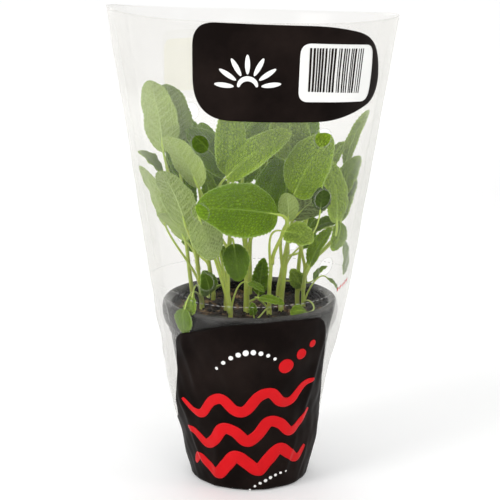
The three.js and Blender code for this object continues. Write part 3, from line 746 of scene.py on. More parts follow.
# A blade as two faces over (u along, v across): the arched midrib plus v times the half width, which the
# scallops and a slow wobble change towards the margin; folded up about the midrib, rolled down at the margin
# and waved. Side veins leave the midrib slanting to the tip, where a phase in u and |v| is whole. The skin
# quilts up between them and in each small cell; underneath the same lines stand out as ridges.
def makeBlade(one, seed):
    b = bladeShape
    draw = np.random.default_rng(seed)
    heel, along, face, across, length = bladeFrame(one)
    wide = one["wide"]
    rows, columns = (max(least, round(size / b["step"])) for least, size in zip(b["fewest"], (length, wide)))
    even = np.linspace(0, 1, rows + 1)
    u = mix(even, (1 - np.cos(math.pi * even)) / 2, b["endRows"])  # closer rows at both ends
    u = mix(*b["ends"], u)[:, None]
    v = np.linspace(-1, 1, columns + 1)[None]
    side = np.sign(v) + (v == 0)
    bladeAlong, rim = u * length, np.abs(v)

    phases = draw.uniform(0, fullTurn, 8)
    phase = lambda left: np.where(side > 0, phases[left + 1], phases[left])
    swing = np.abs(np.sin(math.pi * bladeAlong / b["toothPitch"] + phase(0)))
    tooth = swing ** b["toothPower"] - b["toothLevel"]
    slow = np.sin(fullTurn * b["wobbleWaves"] * u + phase(2))
    half = wide / 2 * bladeOutline(u)
    ends = np.clip(np.sin(math.pi * u) * b["endFade"], 0, 1)
    half = half * (1 + b["wobble"] * slow * ends) + b["toothDepth"] * tooth * rim**6 * ends
    out = np.abs(v) * half

    spacing = max(b["veinSpacing"], length / b["veinPairs"])
    slant = b["veinRise"] * out + b["veinBend"] * out**2 / (wide / 2)
    step = (bladeAlong - slant) / spacing + 0.5 * (side > 0) + phases[4]
    part = step - np.floor(step)
    offVein = np.minimum(part, 1 - part) * spacing * b["veinSquare"]
    sideVein = np.exp(-((offVein / b["veinWidth"]) ** 2)) * (1 - rim**6)
    cell = b["cell"] * np.clip(length / b["cellLength"], *b["cellSizes"])
    nearest, second = cellDistances(step * spacing, out * 1.05 + 50 * (side > 0), cell, seed)
    netLine = np.exp(-(((second - nearest) / b["valley"]) ** 2))
    dome = 1 - np.clip(nearest / cell, 0, 1) ** 2
    midWidth = mix(one["stalk"] * b["midrib"][0], b["midrib"][1], u**0.5)
    midrib = np.exp(-((out / midWidth) ** 2)) * (1 - u**4)

    fold = math.radians(one["fold"])
    folded = np.sqrt(out**2 + b["foldRadius"] ** 2) - b["foldRadius"]
    ripple = b["ripple"] * half * v * np.sin(b["ripplePace"] * u)
    lift = folded * math.sin(fold) + ripple - b["camber"] * half * rim**4
    waveCount = b["marginWaves"][0] + draw.uniform() * b["marginWaves"][1]
    marginWave = np.sin(fullTurn * waveCount * u + phase(5)) * rim**2.5
    lift += b["margin"] * wide * marginWave * np.sin(math.pi * u)
    quilt = b["quilt"] * np.sin(math.pi * part) * np.clip(out / b["quiltFrom"], 0, 1) * (1 - rim**3) * ends
    lift += quilt * min(1, length / b["quiltLength"]) + b["cellRise"] * (dome - 0.5) * ends
    cross = v * half * math.cos(fold)
    middle = midribPoint(one, u) + across * cross[..., None] + face * lift[..., None]

    thick = b["thick"] * (1 - b["edgeThin"] * rim**3)
    above = thick / 2 - b["groove"] * sideVein - b["midribSunk"] * midrib * (1 - rim)
    below = -thick / 2 - b["ridge"] * sideVein - b["net"] * netLine * (1 - rim**6)
    below = below - b["midribProud"] * midWidth * midrib
    outward = np.sign(middle[..., 0] * face[0] + middle[..., 1] * face[1])
    points = []
    for level, way in ((above, 1), (below, -1)):
        margin = b["clear"] + np.where(outward == way, 0, b["thick"])
        points.append(insideFilm(middle + face * level[..., None], margin))
    veinAbove = np.maximum(mix(*b["paleMidrib"], u) * midrib, b["paleVein"] * sideVein * (1 - rim**2))
    # Painted shade: the net's valleys, and the side veins near the rim, are marked to darken the upper face.
    pitShade = np.clip(netLine + b["veinPitShade"] * sideVein * rim, 0, 1) * (1 - rim**6) * (1 - midrib) * ends
    side, net = b["paleUnder"]
    veinBelow = np.maximum(midrib, np.maximum(side * sideVein, net * netLine))
    none = 0 * pitShade
    values = {
        "vein": np.stack([veinAbove, veinBelow]),
        "under": np.stack([none, none + 1]),
        "pitShade": np.stack([pitShade, none]),
        "tone": one["tone"] + b["toneDraw"] * draw.uniform(),
        "rim": rim + none,
    }
    return {"points": np.stack(points), "faces": wallFaces(rows + 1, columns + 1), "values": values}


# A tube: a round section, with a few shallow ribs if asked, carried along the path without twisting.
def sweepTube(path, radii, sides, ribs, ribShare):
    tangent = unit(np.gradient(path, axis=0))
    normal = np.zeros_like(path)
    carried = np.array([1.0, 0.2, 0.1])
    for k, direction in enumerate(tangent):
        carried = unit(carried - (carried @ direction) * direction)
        normal[k] = carried
    other = np.cross(tangent, normal)
    turn = np.linspace(0, fullTurn, sides, endpoint=False)
    radius = np.broadcast_to(radii, (len(path),))[:, None] * (1 + ribShare * np.cos(ribs * turn))
    ring = np.cos(turn)[:, None] * normal[:, None] + np.sin(turn)[:, None] * other[:, None]
    return {"points": path[:, None] + radius[..., None] * ring, "faces": tubeFaces(len(path), sides)}


# Stems start below the soil's surface, at the depth, and rise straight through it.
stemShape = {
    "girth": 1.8, "slim": 0.76, "topShare": 0.65, "closing": 0.5, "depth": 9, "straight": [1.5, 5],
    "sides": 14, "steps": 44, "ribs": 4, "ribShare": 0.07, "young": 0.6,
    "knuckle": 0.22, "knuckleReach": 2.6, "shared": 0.3,
}
stalkShape = {
    "lowest": 0.12, "sweep": 0.35, "tipShare": 0.6, "underBlade": [0.04, 0.1, 0.2], "under": 0.15,
    "sides": 10, "steps": 26, "ribs": 2, "ribShare": 0.1, "young": (0.2, 0.8), "closing": 0.35,
    "flare": 0.45, "flareReach": 3.0, "clear": 0.4, "back": 0.02,
}


# The stem's path and the length run along it: straight out of the soil, then smooth through its points.
def stemPath(plant):
    x, y, z = plant["stem"][0]
    straight = [[x, y, soilShape["top"] + rise] for rise in (-stemShape["depth"], *stemShape["straight"])]
    fine = smoothCurve(straight + plant["stem"][1:], 160)
    return fine, runAlong(fine)


# A stalk leaves the stem along it, bends over to the blade's heel and runs on under the midrib, thinning.
def makeStalk(one, fine, run):
    s = stalkShape
    heel, along, face, across, length = bladeFrame(one)
    joint = mix(s["lowest"], 1, one["at"])
    start = alongPath(fine, run, joint)
    tangent = unit(start - alongPath(fine, run, joint - s["back"]))
    reach = np.linalg.norm(heel - start)
    first, second = start + tangent * s["sweep"] * reach, heel - along * s["sweep"] * reach
    t = np.linspace(0, 1, s["steps"])[:, None]
    bend = (1 - t) ** 3 * start + 3 * (1 - t) ** 2 * t * first + 3 * (1 - t) * t**2 * second + t**3 * heel
    under = midribPoint(one, s["underBlade"]) - face * (bladeShape["thick"] / 2 + s["under"])
    path = insideFilm(np.concatenate([bend, under]), s["clear"] + one["stalk"])
    run = runAlong(path)
    radii = one["stalk"] * mix(1, s["tipShare"], run / run[-1])
    radii *= 1 + s["flare"] * np.exp(-((run / s["flareReach"]) ** 2))
    radii[-1] *= s["closing"]
    age = mix(*s["young"], smoothStep(0, run[-1], run))[:, None]
    return {**sweepTube(path, radii, s["sides"], s["ribs"], s["ribShare"]), "values": {"young": age}}


# A stem thins towards its top and swells into a knuckle where each stalk leaves it.
def makeStem(plant, fine, run):
    s = stemShape
    at = np.linspace(0, 1, s["steps"])
    girth = plant.get("girth", s["girth"]) * s["slim"]
    radii = girth * mix(1, s["topShare"], at)
    for one in plant["leaves"]:
        away = (at - mix(stalkShape["lowest"], 1, one["at"])) * run[-1] / s["knuckleReach"]
        radii += girth * s["knuckle"] * np.exp(-(away**2)) / (1 + s["shared"] * len(plant["leaves"]))
    radii[-1] *= s["closing"]
    path = insideFilm(alongPath(fine, run, at), stalkShape["clear"] + girth)
    tube = sweepTube(path, radii, s["sides"], s["ribs"], s["ribShare"])
    return {**tube, "values": {"young": (s["young"] * at)[:, None]}}


# Each plant is two pieces, its blades and its stem with the stalks. A blade's seed is its own number.
def makePlants(leafMaterial, stemMaterial):
    for number, (name, plant) in enumerate(plants.items()):
        fine, run = stemPath(plant)
        stands = ["sage_" + name]
        blades = [makeBlade(one, 100 * number + k) for k, one in enumerate(plant["leaves"])]
        makePiece("leaves_" + name, blades, leafMaterial, stands)
        stalks = [makeStalk(one, fine, run) for one in plant["leaves"]]
        makePiece("stems_" + name, [makeStem(plant, fine, run)] + stalks, stemMaterial, stands)


# Printed areas lie on the film, each a thin closed skin: a grid of angles and levels, lifted off the film's
# own points by its height and its thickness, so that the print follows every fold.
printLift = {"crease": 0.05, "tear": 0.1, "tick": 0.12, "panel": 0.16, "art": 0.34, "over": 0.5}
printThick = 0.07
innermostRing = 0.02  # of a printed shape, as a share of its loop
strokeEnds = (0.004, 0.996)  # of the half turn whose sine thins a stroke


def printPart(turn, level, lift, **edges):
    skins = [filmPoint(turn, level, height) for height in (lift + printThick, lift)]
    return {"points": np.stack(skins), "faces": wallFaces(*turn.shape, **edges)}


# A closed outline with rounded corners, run anticlockwise. Each corner is (degrees, height, reach): on the
# flat film a parabola bends from the point at that reach on one side to the point at that reach on the next.
def roundedOutline(corners, count):
    turn, level, reach = np.array(corners, float).T
    chart = math.radians(1) * filmChart(level.mean())
    corner = np.stack([turn * chart, level], -1)
    start, end = (corner + unit(np.roll(corner, way, 0) - corner) * reach[:, None] for way in (1, -1))
    t = np.linspace(0, 1, 24)[None, :, None]
    bends = mix(mix(start[:, None], corner[:, None], t), mix(corner[:, None], end[:, None], t), t)
    loop = np.concatenate([bends.reshape(-1, 2), start[:1]])
    return alongPath(loop, runAlong(loop), np.linspace(0, 1, count, endpoint=False)) / [chart, 1]


# A printed shape inside a closed loop of (degrees, height): rings shrink from the loop to its centre.
def printShape(loop, lift, rings):
    centre = loop.mean(0)
    shrink = np.linspace(1, innermostRing, rings)[:, None, None]
    grid = centre + (loop - centre) * shrink
    turn = np.radians(grid[..., 0])
    return printPart(turn, levelAt(turn, grid[..., 1]), lift, wrap=True, fillEnd=True)


# A brush stroke through points (degrees, height): the path widened to both sides by its half width, which
# a power of a sine thins to its ends when tapered.
def printStroke(points, halfWidth, lift, taper, count, across):
    path = smoothCurve(points, count)
    radius = filmChart(path[:, 1].mean())
    flat = np.stack([np.radians(path[:, 0]) * radius, path[:, 1]], -1)
    direction = unit(np.gradient(flat, axis=0))
    right = np.stack([direction[:, 1], -direction[:, 0]], -1)
    width = halfWidth * np.sin(math.pi * np.linspace(*strokeEnds, count)) ** taper
    offsets = np.linspace(-1, 1, across + 1)[None, :, None]
    grid = flat[:, None] + right[:, None] * width[:, None, None] * offsets
    turn = grid[..., 0] / radius
    return printPart(turn, levelAt(turn, grid[..., 1]), lift)


# A round dot: the middle as degrees and height, and the radius.
def printDot(turn, level, radius):
    at = np.linspace(0, fullTurn, 40, endpoint=False)
    wide = math.degrees(radius / filmChart(level))
    loop = np.stack([turn + wide * np.cos(at), level + radius * np.sin(at)], -1)
    return printShape(loop, printLift["art"], 6)


# The lower printed panel wraps the pot: its sides and its top edge (degrees, height), and the radius of its
# top corners.
panelShape = {
    "bottom": 0.9, "corner": 8.5, "cornerLevel": 95.0, "rows": 72, "columns": 150, "edgeColumns": 0.75,
    "left": [(-101, 0), (-98, 22), (-86, 33), (-66, 42), (-59, 60), (-54.5, 73), (-53.5, 83), (-55, 90),
             (-55.5, 108)],
    "right": [(101, 0), (99, 24), (90, 34), (78, 40), (72, 54), (64, 68), (57.5, 82), (53.6, 95), (51, 108)],
    "top": [(-58, 91), (-45, 95), (-32, 98.2), (-15, 102.6), (12, 105), (30, 105), (46, 104), (58, 102)],
}


# The panel as a grid: shares across between its two sides, and up from its foot to the top edge, which falls
# by a quarter circle at each corner.
def panelGrid():
    p = panelShape
    even = np.linspace(0, 1, p["columns"])
    across = mix(even, (1 - np.cos(math.pi * even)) / 2, p["edgeColumns"])[None]  # closer at the sides
    up = np.linspace(0, 1, p["rows"])[:, None]
    left, right, top = (smoothCurve(p[key], 120) for key in ("left", "right", "top"))
    leftTop, rightTop = left[-1, 0], right[-1, 0]
    wide = math.radians(rightTop - leftTop) * filmChart(p["cornerLevel"])
    inset = np.clip(1 - np.minimum(across, 1 - across) * wide / p["corner"], 0, 1)
    drop = p["corner"] * (1 - np.sqrt(1 - inset**2))
    topHere = np.interp(mix(leftTop, rightTop, across), top[:, 0], top[:, 1]) - drop
    level = mix(p["bottom"], topHere, up)
    leftHere, rightHere = (np.interp(level, edge[:, 1], edge[:, 0]) for edge in (left, right))
    return np.radians(mix(leftHere, rightHere, across)), level


# The printed shapes near the mouth, by their corners: the label, its pale patch, and the patch on the back
# with its cream middle. Each has its ink, its lift, and its numbers of points round and of rings.
labels = {
    "printLabel": {"ink": "black", "lift": "panel", "round": 200, "rings": 40, "corners": [
        (-25.5, 217.5, 22), (38, 215, 16), (64.5, 225.5, 14), (56.5, 257, 17.5), (32, 264.5, 15),
        (-22.5, 267.5, 12),
    ]},
    "printPatch": {"ink": "white", "lift": "art", "round": 120, "rings": 24, "corners": [
        (18.5, 226.5, 5.5), (55.5, 224, 7), (55, 241.5, 8), (52.5, 254, 5), (18, 256.5, 6),
    ]},
    "printBackEdge": {"ink": "veil", "lift": "panel", "round": 140, "rings": 24, "corners": [
        (-208, 215.5, 8), (-132, 214.5, 12), (-136.5, 255, 6), (-207, 256.5, 10),
    ]},
    "printBack": {"ink": "cream", "lift": "art", "round": 140, "rings": 24, "corners": [
        (-207, 219.5, 6), (-133.5, 219, 8.5), (-137, 250, 5.5), (-207, 251, 9),
    ]},
}


def makeLabels(inks):
    for name, one in labels.items():
        outline = roundedOutline(one["corners"], one["round"])
        makePiece(name, [printShape(outline, printLift[one["lift"]], one["rings"])], inks[one["ink"]])


# Bars of drawn widths and gaps side by side, upright on the patch and a little slanted with it. The lower and
# upper ends run between two heights. A half width counts a little less in degrees than in millimetres.
barRow = {
    "from": 22.2, "to": 47.2, "lean": 0.6, "low": (231.6, 229.2), "high": (253.9, 252.4),
    "halfWidth": (0.2, 0.62), "thinPower": 1.6, "gap": (0.28, 0.9), "degrees": 0.78, "seed": 4,
}


def makeBars(material):
    b = barRow
    draw = np.random.default_rng(b["seed"])
    at, parts = b["from"], []
    while at < b["to"]:
        half = mix(*b["halfWidth"], draw.uniform() ** b["thinPower"])
        share = (at - b["from"]) / (b["to"] - b["from"])
        ends = [(at + b["lean"], mix(*b["low"], share)), (at, mix(*b["high"], share))]
        parts.append(printStroke(ends, half, printLift["over"], 0, 10, 2))
        at += 2 * half * b["degrees"] + mix(*b["gap"], draw.uniform())
    return makePiece("printBars", parts, material)


# A half ring with rays over it, as a plain sun.
rayFan = {
    "turn": -2, "level": 234, "ring": 4.8, "ringFrom": 0.1, "ringTaper": 0.3, "halfWidth": 1.3,
    "start": 7, "reach": 17, "rays": 7, "rayFrom": 0.12, "rayTaper": 0.5,
}


def makeFan(material):
    f = rayFan
    flat = math.degrees(1 / float(sleeveRadius(0, f["level"])))
    spot = lambda r, turn: (f["turn"] + flat * r * math.cos(turn), f["level"] + r * math.sin(turn))
    stroke = lambda path, taper: printStroke(path, f["halfWidth"], printLift["art"], taper, 40, 4)
    halfTurn = lambda start, count: np.linspace(start, math.pi - start, count)
    parts = [stroke([spot(f["ring"], turn) for turn in halfTurn(f["ringFrom"], 7)], f["ringTaper"])]
    for turn in halfTurn(f["rayFrom"], f["rays"]):
        parts.append(stroke([spot(f["start"], turn), spot(f["reach"], turn)], f["rayTaper"]))
    return makePiece("printFan", parts, material)


# Three brush waves sweep up to the right across the panel, each point of a wave swinging to the other side,
# with three round dots over their right end.
bands = {
    "levels": [18, 37, 56], "from": -58, "to": 55, "inFrom": 3, "inTo": 2, "climb": 12,
    "swing": 5.2, "swings": 6, "ahead": 0.35, "halfWidth": 3.9, "thinner": 0.3, "taper": 0.35,
    "dots": [(25, 78, 4.2), (35, 84, 3.1), (43, 89, 2.2)],
}


def makeBands(material):
    b = bands
    parts = []
    for row, level in enumerate(b["levels"]):
        shares = np.linspace(0, 1, b["swings"] * 2 + 1)
        turn = mix(b["from"] + b["inFrom"] * row, b["to"] - b["inTo"] * row, shares)
        wave = b["swing"] * np.sin(math.pi * (b["swings"] * shares + b["ahead"] * row))
        points = np.stack([turn, level + b["climb"] * (shares - 0.5) + wave], -1)
        half = b["halfWidth"] - b["thinner"] * row
        parts.append(printStroke(points, half, printLift["art"], b["taper"], 280, 6))
    parts += [printDot(*dot) for dot in b["dots"]]
    return makePiece("printBands", parts, material)


# White dots along two arcs, over the waves at the left and under them at the right: degrees and height of the
# middle, half the run, rise to its middle, tilt, number of dots and the largest radius, which shrinks by the
# share towards the ends.
dotArcs = [
    {"middle": (-2, 80), "half": 19, "rise": 7, "tilt": 3, "count": 9, "radius": 1.7},
    {"middle": (17, 6), "half": 17, "rise": 1.5, "tilt": 5, "count": 8, "radius": 1.1},
]
dotShrink = 0.45


def makeDots(material):
    parts = []
    for arc in dotArcs:
        for share in np.linspace(-1, 1, arc["count"]):
            turn = arc["middle"][0] + arc["half"] * share
            level = arc["middle"][1] + arc["rise"] * (1 - share**2) + arc["tilt"] * share
            parts.append(printDot(turn, level, arc["radius"] * (1 - dotShrink * abs(share))))
    return makePiece("printDots", parts, material)


# The perforated line round the film a little over the pot's lip: short dashes.
tearLine = {
    "dash": 1.9, "pitch": 3.1, "halfWidth": 0.12,
    "run": [(-180, 116), (-90, 119), (-46, 118.3), (-33, 115), (0, 114), (40, 114.8), (56, 117), (90, 120),
            (180, 116)],
}


def makeTearLine(material):
    t = tearLine
    run = smoothCurve(t["run"], 300)
    count = round(fullTurn * filmShape["seatRadius"] / t["pitch"])
    dash = math.degrees(t["dash"] / filmShape["seatRadius"])
    parts = []
    for turn in np.linspace(-180, 180, count, endpoint=False):
        ends = [(at, np.interp(at, run[:, 0], run[:, 1])) for at in (turn, turn + dash)]
        parts.append(printStroke(ends, t["halfWidth"], printLift["tear"], 0, 4, 2))
    return makePiece("tearLine", parts, material)


# Small ticks beside the tear line, at the right and at the back. A row is its first tick's degrees and height
# and the degrees to the next one. Each tick runs over by so many degrees and up by so many millimetres.
tearMarks = {
    "rows": [(57, 117.2, 2.7), (184, 111.2, 2.4)], "count": 5, "climb": 0.75,
    "over": 1.2, "up": 2.2, "halfWidth": 0.42,
}


def makeTearMarks(material):
    m = tearMarks
    parts = []
    for start, level, pitch in m["rows"]:
        for k in range(m["count"]):
            x, z = start + pitch * k, level + m["climb"] * k
            ends = [(x, z), (x + m["over"], z + m["up"])]
            parts.append(printStroke(ends, m["halfWidth"], printLift["tick"], 0.25, 8, 2))
    return makePiece("tearMarks", parts, material)


# Sharp creases in the film, as fine raised lines: beside the panel at the right, and down from the mouth.
creases = [
    [(56.5, 117), (57.5, 107), (57, 96), (58, 80), (62, 66)],
    [(60, 113), (61, 100), (60.5, 86)],
    [(-61, 116), (-58, 108), (-57, 99)],
    [(-68, 266), (-66, 220), (-64.5, 170), (-62, 128)],
    [(67.5, 262), (66, 220), (64.5, 170), (62, 128)],
]
creaseHalf = 0.2


def makeCreases(material):
    parts = [printStroke(line, creaseHalf, printLift["crease"], 0.5, 60, 2) for line in creases]
    return makePiece("filmCreases", parts, material)


# A pale bead round every vent, where the punch turned the film's edge: just outside the film and just inside.
beadShape = {"wide": 0.2, "outside": 0.06, "inside": -0.18, "columns": 40}


def makeVentBeads(material):
    b = beadShape
    loop = np.linspace(0, fullTurn, b["columns"], endpoint=False)
    rings = filmShape["ventRadius"] + np.array([b["wide"], 0.0])[:, None]
    parts = []
    for degrees, z in vents:
        angle = math.radians(degrees)
        turn = angle + rings * np.cos(loop) / float(sleeveRadius(angle, z))
        level = float(levelAt(angle, z)) + rings * np.sin(loop)
        skins = [filmPoint(turn, level, b[lift]) for lift in ("outside", "inside")]
        parts.append({"points": np.stack(skins), "faces": wallFaces(2, b["columns"], wrap=True)})
    return makePiece("ventBeads", parts, material)


# Leaves: green by the leaf's tone and a broad noise, darker with painted shade in its furrows and pits, paler
# on its veins, and lighter along its rim as a painted highlight; the underside is paler, with bright veins.
# Down gives it a sheen.
def leafFinish():
    material, tree, shader = newMaterial("leafSkin", {
        "Roughness": 0.6, "Specular IOR Level": 0.15,
        "Sheen Weight": 0.14, "Sheen Roughness": 0.45, "Sheen Tint": (0.93, 1.0, 0.7, 1),
        "Subsurface Weight": 0.25, "Subsurface Radius": (0.8, 1.0, 0.2), "Subsurface Scale": 0.0015,
    })
    broad = scaledNode(tree, noiseNode(tree, 55, 3), 0.7, -0.35)
    shade = scaledNode(tree, sumNode(tree, broad, valueNode(tree, "tone")), 0.63, 0.085)
    green = rampNode(tree, shade, [
        (0.0, (0.008, 0.016, 0.001)), (0.15, (0.062, 0.125, 0.003)), (0.4, (0.150, 0.280, 0.006)),
        (0.68, (0.290, 0.450, 0.015)), (1.0, (0.42, 0.56, 0.10)),
    ])
    pale = rampNode(tree, shade, [
        (0.0, (0.008, 0.014, 0.002)), (0.15, (0.105, 0.162, 0.018)), (0.65, (0.250, 0.340, 0.055)),
    ])
    cells = {"Vector": objectPlace(tree), "Scale": 640}
    grain = addNode(tree, "TexVoronoi", cells, feature="DISTANCE_TO_EDGE").outputs["Distance"]
    # Painted shade in the fine grain's furrows.
    furrowShade = rampNode(tree, grain, [(0.0, (1, 1, 1)), (0.22, (0, 0, 0))])
    # Painted highlight: the outermost rim of each blade is lightened.
    edge = rampNode(tree, valueNode(tree, "rim"), [(0.93, (0, 0, 0)), (1.0, (1, 1, 1))])
    vein = valueNode(tree, "vein")
    upper = green
    layers = [
        (furrowShade, 0.6, (0.046, 0.092, 0.003)), (valueNode(tree, "pitShade"), 0.7, (0.036, 0.072, 0.002)),
        (vein, 0.6, (0.33, 0.47, 0.12)),
    ]
    for where, share, colour in layers:
        upper = mixNode(tree, scaledNode(tree, where, share), upper, colour)
    lower = mixNode(tree, scaledNode(tree, vein, 0.85), pale, (0.52, 0.64, 0.27))
    faces = mixNode(tree, valueNode(tree, "under"), upper, lower)
    whole = mixNode(tree, scaledNode(tree, edge, 0.55), faces, (0.42, 0.56, 0.20))
    feed(tree, shader.inputs["Base Color"], whole)
    addBump(tree, shader, noiseNode(tree, 1500, 2), 0.00022, 0.7)
    return material


# Stems and stalks: yellower where they are old, fresher where young, mottled and downy.
def stemFinish():
    material, tree, shader = newMaterial("stemSkin", {
        "Roughness": 0.6, "Sheen Weight": 0.25, "Subsurface Weight": 0.1, "Subsurface Scale": 0.0012,
    })
    base = mixNode(tree, valueNode(tree, "young"), (0.42, 0.50, 0.07), (0.43, 0.60, 0.08))
    mottle = rampNode(tree, noiseNode(tree, 120, 4), [(0.35, (0, 0, 0)), (0.7, (1, 1, 1))])
    colour = mixNode(tree, scaledNode(tree, mottle, 0.4), base, (0.54, 0.60, 0.15))
    feed(tree, shader.inputs["Base Color"], colour)
    addBump(tree, shader, noiseNode(tree, 1100, 2), 0.00015, 0.6)
    return material


# The pot: black with a trace of dust, and a painted highlight of lighter grey along its lip's ridge.
def potFinish():
    material, tree, shader = newMaterial("potPlastic", {"Specular IOR Level": 0.25})
    dustStops = [(0.4, (0.003, 0.0025, 0.0022)), (0.8, (0.010, 0.0085, 0.0075))]
    lipHighlightStops = [(0.3, (0.015, 0.0145, 0.014)), (0.7, (0.11, 0.106, 0.102))]
    dust = rampNode(tree, noiseNode(tree, 35, 5), dustStops)
    lipHighlight = rampNode(tree, noiseNode(tree, 45, 4), lipHighlightStops)
    feed(tree, shader.inputs["Base Color"], mixNode(tree, valueNode(tree, "ridge"), dust, lipHighlight))
    feed(tree, shader.inputs["Roughness"], scaledNode(tree, noiseNode(tree, 60, 4), 0.2, 0.16))
    addBump(tree, shader, noiseNode(tree, 900, 3), 0.00003, 0.4)
    return material


# The soil: dark, with specks that turn pale where their noise and the lump's own tone are high.
def soilFinish():
    material, tree, shader = newMaterial("compost", {"Roughness": 0.9})
    speck = noiseNode(tree, 420, 5, 0.7)
    shade = sumNode(tree, speck, scaledNode(tree, valueNode(tree, "tone"), 0.6, -0.2))
    colour = rampNode(tree, shade, [
        (0.2, (0.006, 0.004, 0.0035)), (0.55, (0.020, 0.013, 0.010)), (0.75, (0.050, 0.029, 0.018)),
        (0.98, (0.24, 0.15, 0.07)),
    ])
    feed(tree, shader.inputs["Base Color"], colour)
    addBump(tree, shader, speck, 0.0006, 1.0)
    return material


# The film lets most light straight through. What it keeps back, more at a slant, where it is doubled at the
# seams and where it is hazy or misted, it mirrors softly.
filmLook = {"slanting": 0.3, "power": 2.6, "haze": 0.005, "seam": 0.03, "tint": (0.962, 0.959, 0.952)}


def filmFinish():
    look = filmLook
    material, tree, shader = newMaterial("clearFilm", {"Metallic": 0.2, "Roughness": 0.24})
    tint = rampNode(tree, noiseNode(tree, 20, 3), [(0.3, (0.88, 0.875, 0.85)), (0.7, (0.95, 0.945, 0.92))])
    feed(tree, shader.inputs["Base Color"], tint)
    facing = addNode(tree, "LayerWeight", {}).outputs["Facing"]
    steep = addNode(tree, "Math", {0: facing, 1: look["power"]}, operation="POWER").outputs[0]
    share = scaledNode(tree, steep, look["slanting"])
    haze = scaledNode(tree, noiseNode(tree, 16, 3), look["haze"])
    seam = scaledNode(tree, valueNode(tree, "seam"), look["seam"])
    for other in (haze, seam, valueNode(tree, "mist")):
        share = sumNode(tree, share, other)
    seeThrough(tree, shader, share, look["tint"])
    return material


# A thin ink or a bruise in the film: only a share of the light is kept.
def sheerFinish(name, colour, share, tint=(1, 1, 1)):
    material, tree, shader = newMaterial(name, {"Base Color": (*colour, 1), "Roughness": 0.45})
    seeThrough(tree, shader, scaledNode(tree, noiseNode(tree, 60, 4), share * 0.8, share * 0.6), tint)
    return material


# A printed ink: its colour, turned to a second one in patches of noise, with an uneven gloss. The second
# colour is wear, and on the black ink it is also a painted sheen of faint wrinkle streaks.
def inkFinish(name, colour, wearAndSheen, roughness=0.4, gloss=0.3):
    material, tree, shader = newMaterial(name, {"Specular IOR Level": gloss})
    ink = rampNode(tree, noiseNode(tree, 26, 5, 0.6), [(0.42, colour), (0.72, wearAndSheen)])
    feed(tree, shader.inputs["Base Color"], ink)
    feed(tree, shader.inputs["Roughness"], scaledNode(tree, noiseNode(tree, 30, 3), 0.2, roughness - 0.1))
    addBump(tree, shader, noiseNode(tree, 900, 2), 0.00005, 0.4)
    return material


makePot(potFinish())
soil = soilFinish()
makeSoil(soil)
makeCrumbs(soil)
makePlants(leafFinish(), stemFinish())
makeSleeve(filmFinish())
print("pot, plants and film made")

inks = {
    # The black ink's lighter second colour is partly painted sheen.
    "black": inkFinish("blackInk", (0.0050, 0.0030, 0.0025), (0.014, 0.009, 0.0075), 0.42, 0.03),
    "red": inkFinish("redInk", (0.60, 0.004, 0.008), (0.50, 0.003, 0.006), 0.4, 0.12),
    "white": inkFinish("whiteInk", (0.84, 0.84, 0.82), (0.78, 0.78, 0.76)),
    "veil": sheerFinish("veilInk", (0.95, 0.95, 0.9), 0.006, (0.992, 0.992, 0.984)),
    "cream": sheerFinish("creamInk", (1.0, 0.97, 0.80), 0.006, (1.0, 0.996, 0.952)),
}
makeLabels(inks)
makePiece("printPanel", [printPart(*panelGrid(), printLift["panel"])], inks["black"])
makeBars(inks["black"])
makeFan(inks["white"])
makeBands(inks["red"])
makeDots(inks["white"])
makeTearLine(sheerFinish("slitFilm", (0.92, 0.92, 0.9), 0.3))
makeTearMarks(inks["red"])
makeCreases(sheerFinish("creasedFilm", (0.85, 0.86, 0.82), 0.45))
makeVentBeads(sheerFinish("punchedFilm", (0.80, 0.86, 0.66), 0.09))
print("prints made")

# The stage: a pale floor whose own glow evens out its tone, as metres from its middle and strength, and a sky
# by height and brightness. All lamps are soft and look at the target.
stage = {
    "floor": 60.0, "tones": [(0, (0.93, 0.93, 0.93)), (1, (0.95, 0.95, 0.95))], "target": (0, 0, 0.14),
    "glow": [(0.2, 0.1), (1.0, 0.17), (1.7, 0.36), (2.6, 0.52)], "glowReach": 3.0,
    "sky": [(0.0, 1.04), (0.1, 1.04), (0.4, 0.47)],
}
lamps = [
    {"name": "leftSoftbox", "at": (-0.95, -0.75, 0.75), "size": (0.5, 1.2), "power": 8.5},
    {"name": "rightSoftbox", "at": (1.0, -0.45, 0.6), "size": (0.16, 0.9), "power": 1.2},
    {"name": "topSoftbox", "at": (0.1, 0.25, 1.5), "size": (1.2, 1.0), "power": 5.5},
    {"name": "frontSoftbox", "at": (0.5, -1.7, 1.3), "size": (1.4, 1.0), "power": 11},
    {"name": "backSoftbox", "at": (-0.5, 1.9, 1.0), "size": (1.6, 0.7), "power": 6},
]


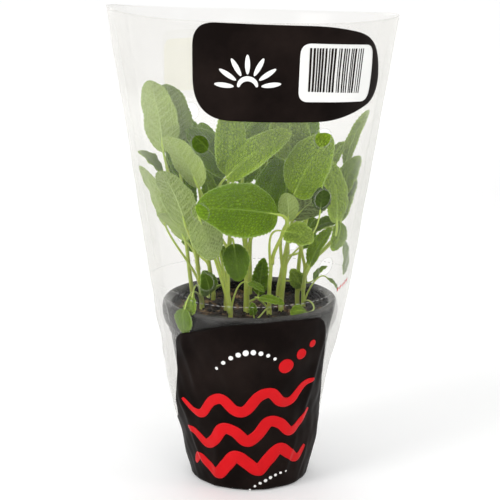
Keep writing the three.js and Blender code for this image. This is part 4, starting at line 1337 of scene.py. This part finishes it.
def makeFloor():
    bpy.ops.mesh.primitive_plane_add(size=stage["floor"])
    floor = bpy.context.object
    floor.name = "floor"
    shine = {"Roughness": 0.8, "Emission Color": (1, 1, 1, 1)}
    material, tree, shader = newMaterial("paleFloor", shine)
    feed(tree, shader.inputs["Base Color"], rampNode(tree, noiseNode(tree, 2), stage["tones"]))
    away = addNode(tree, "VectorMath", {0: objectPlace(tree)}, operation="LENGTH").outputs["Value"]
    steps = [(metres / stage["glowReach"], 3 * (glow,)) for metres, glow in stage["glow"]]
    glow = rampNode(tree, scaledNode(tree, away, 1 / stage["glowReach"]), steps)
    feed(tree, shader.inputs["Emission Strength"], glow)
    floor.data.materials.append(material)


def makeLight():
    world = bpy.data.worlds.new("studio")
    bpy.context.scene.world = world
    world.use_nodes = True
    tree = world.node_tree
    towards = addNode(tree, "TexCoord", {}).outputs["Generated"]
    height = addNode(tree, "SeparateXYZ", {0: towards}).outputs["Z"]
    steps = [(level, 3 * (tone,)) for level, tone in stage["sky"]]
    feed(tree, tree.nodes["Background"].inputs["Color"], rampNode(tree, height, steps))
    feed(tree, tree.nodes["Background"].inputs["Strength"], 1)
    for lamp in lamps:
        light = bpy.data.lights.new(lamp["name"], "AREA")
        light.shape = "RECTANGLE"
        light.size, light.size_y = lamp["size"]
        light.energy = lamp["power"]
        holder = bpy.data.objects.new(lamp["name"], light)
        bpy.context.scene.collection.objects.link(holder)
        holder.location = lamp["at"]
        aim = holder.location.copy()
        aim.x, aim.y, aim.z = np.array(stage["target"]) - np.array(lamp["at"])
        holder.rotation_euler = aim.to_track_quat("-Z", "Y").to_euler()


view = {"back": 0.752, "height": 0.3026, "pitch": 0.221, "lens": 96.5, "sensor": 36}


def makeCamera():
    camera = bpy.data.objects.new("camera", bpy.data.cameras.new("camera"))
    bpy.context.scene.collection.objects.link(camera)
    camera.location = (0, -view["back"], view["height"])
    camera.rotation_euler = (math.pi / 2 - view["pitch"], 0, 0)
    camera.data.lens = view["lens"]
    camera.data.sensor_width = view["sensor"]
    bpy.context.scene.camera = camera


makeFloor()
makeLight()
makeCamera()
bpy.context.scene.view_settings.view_transform = "Standard"
print("stage and camera set")
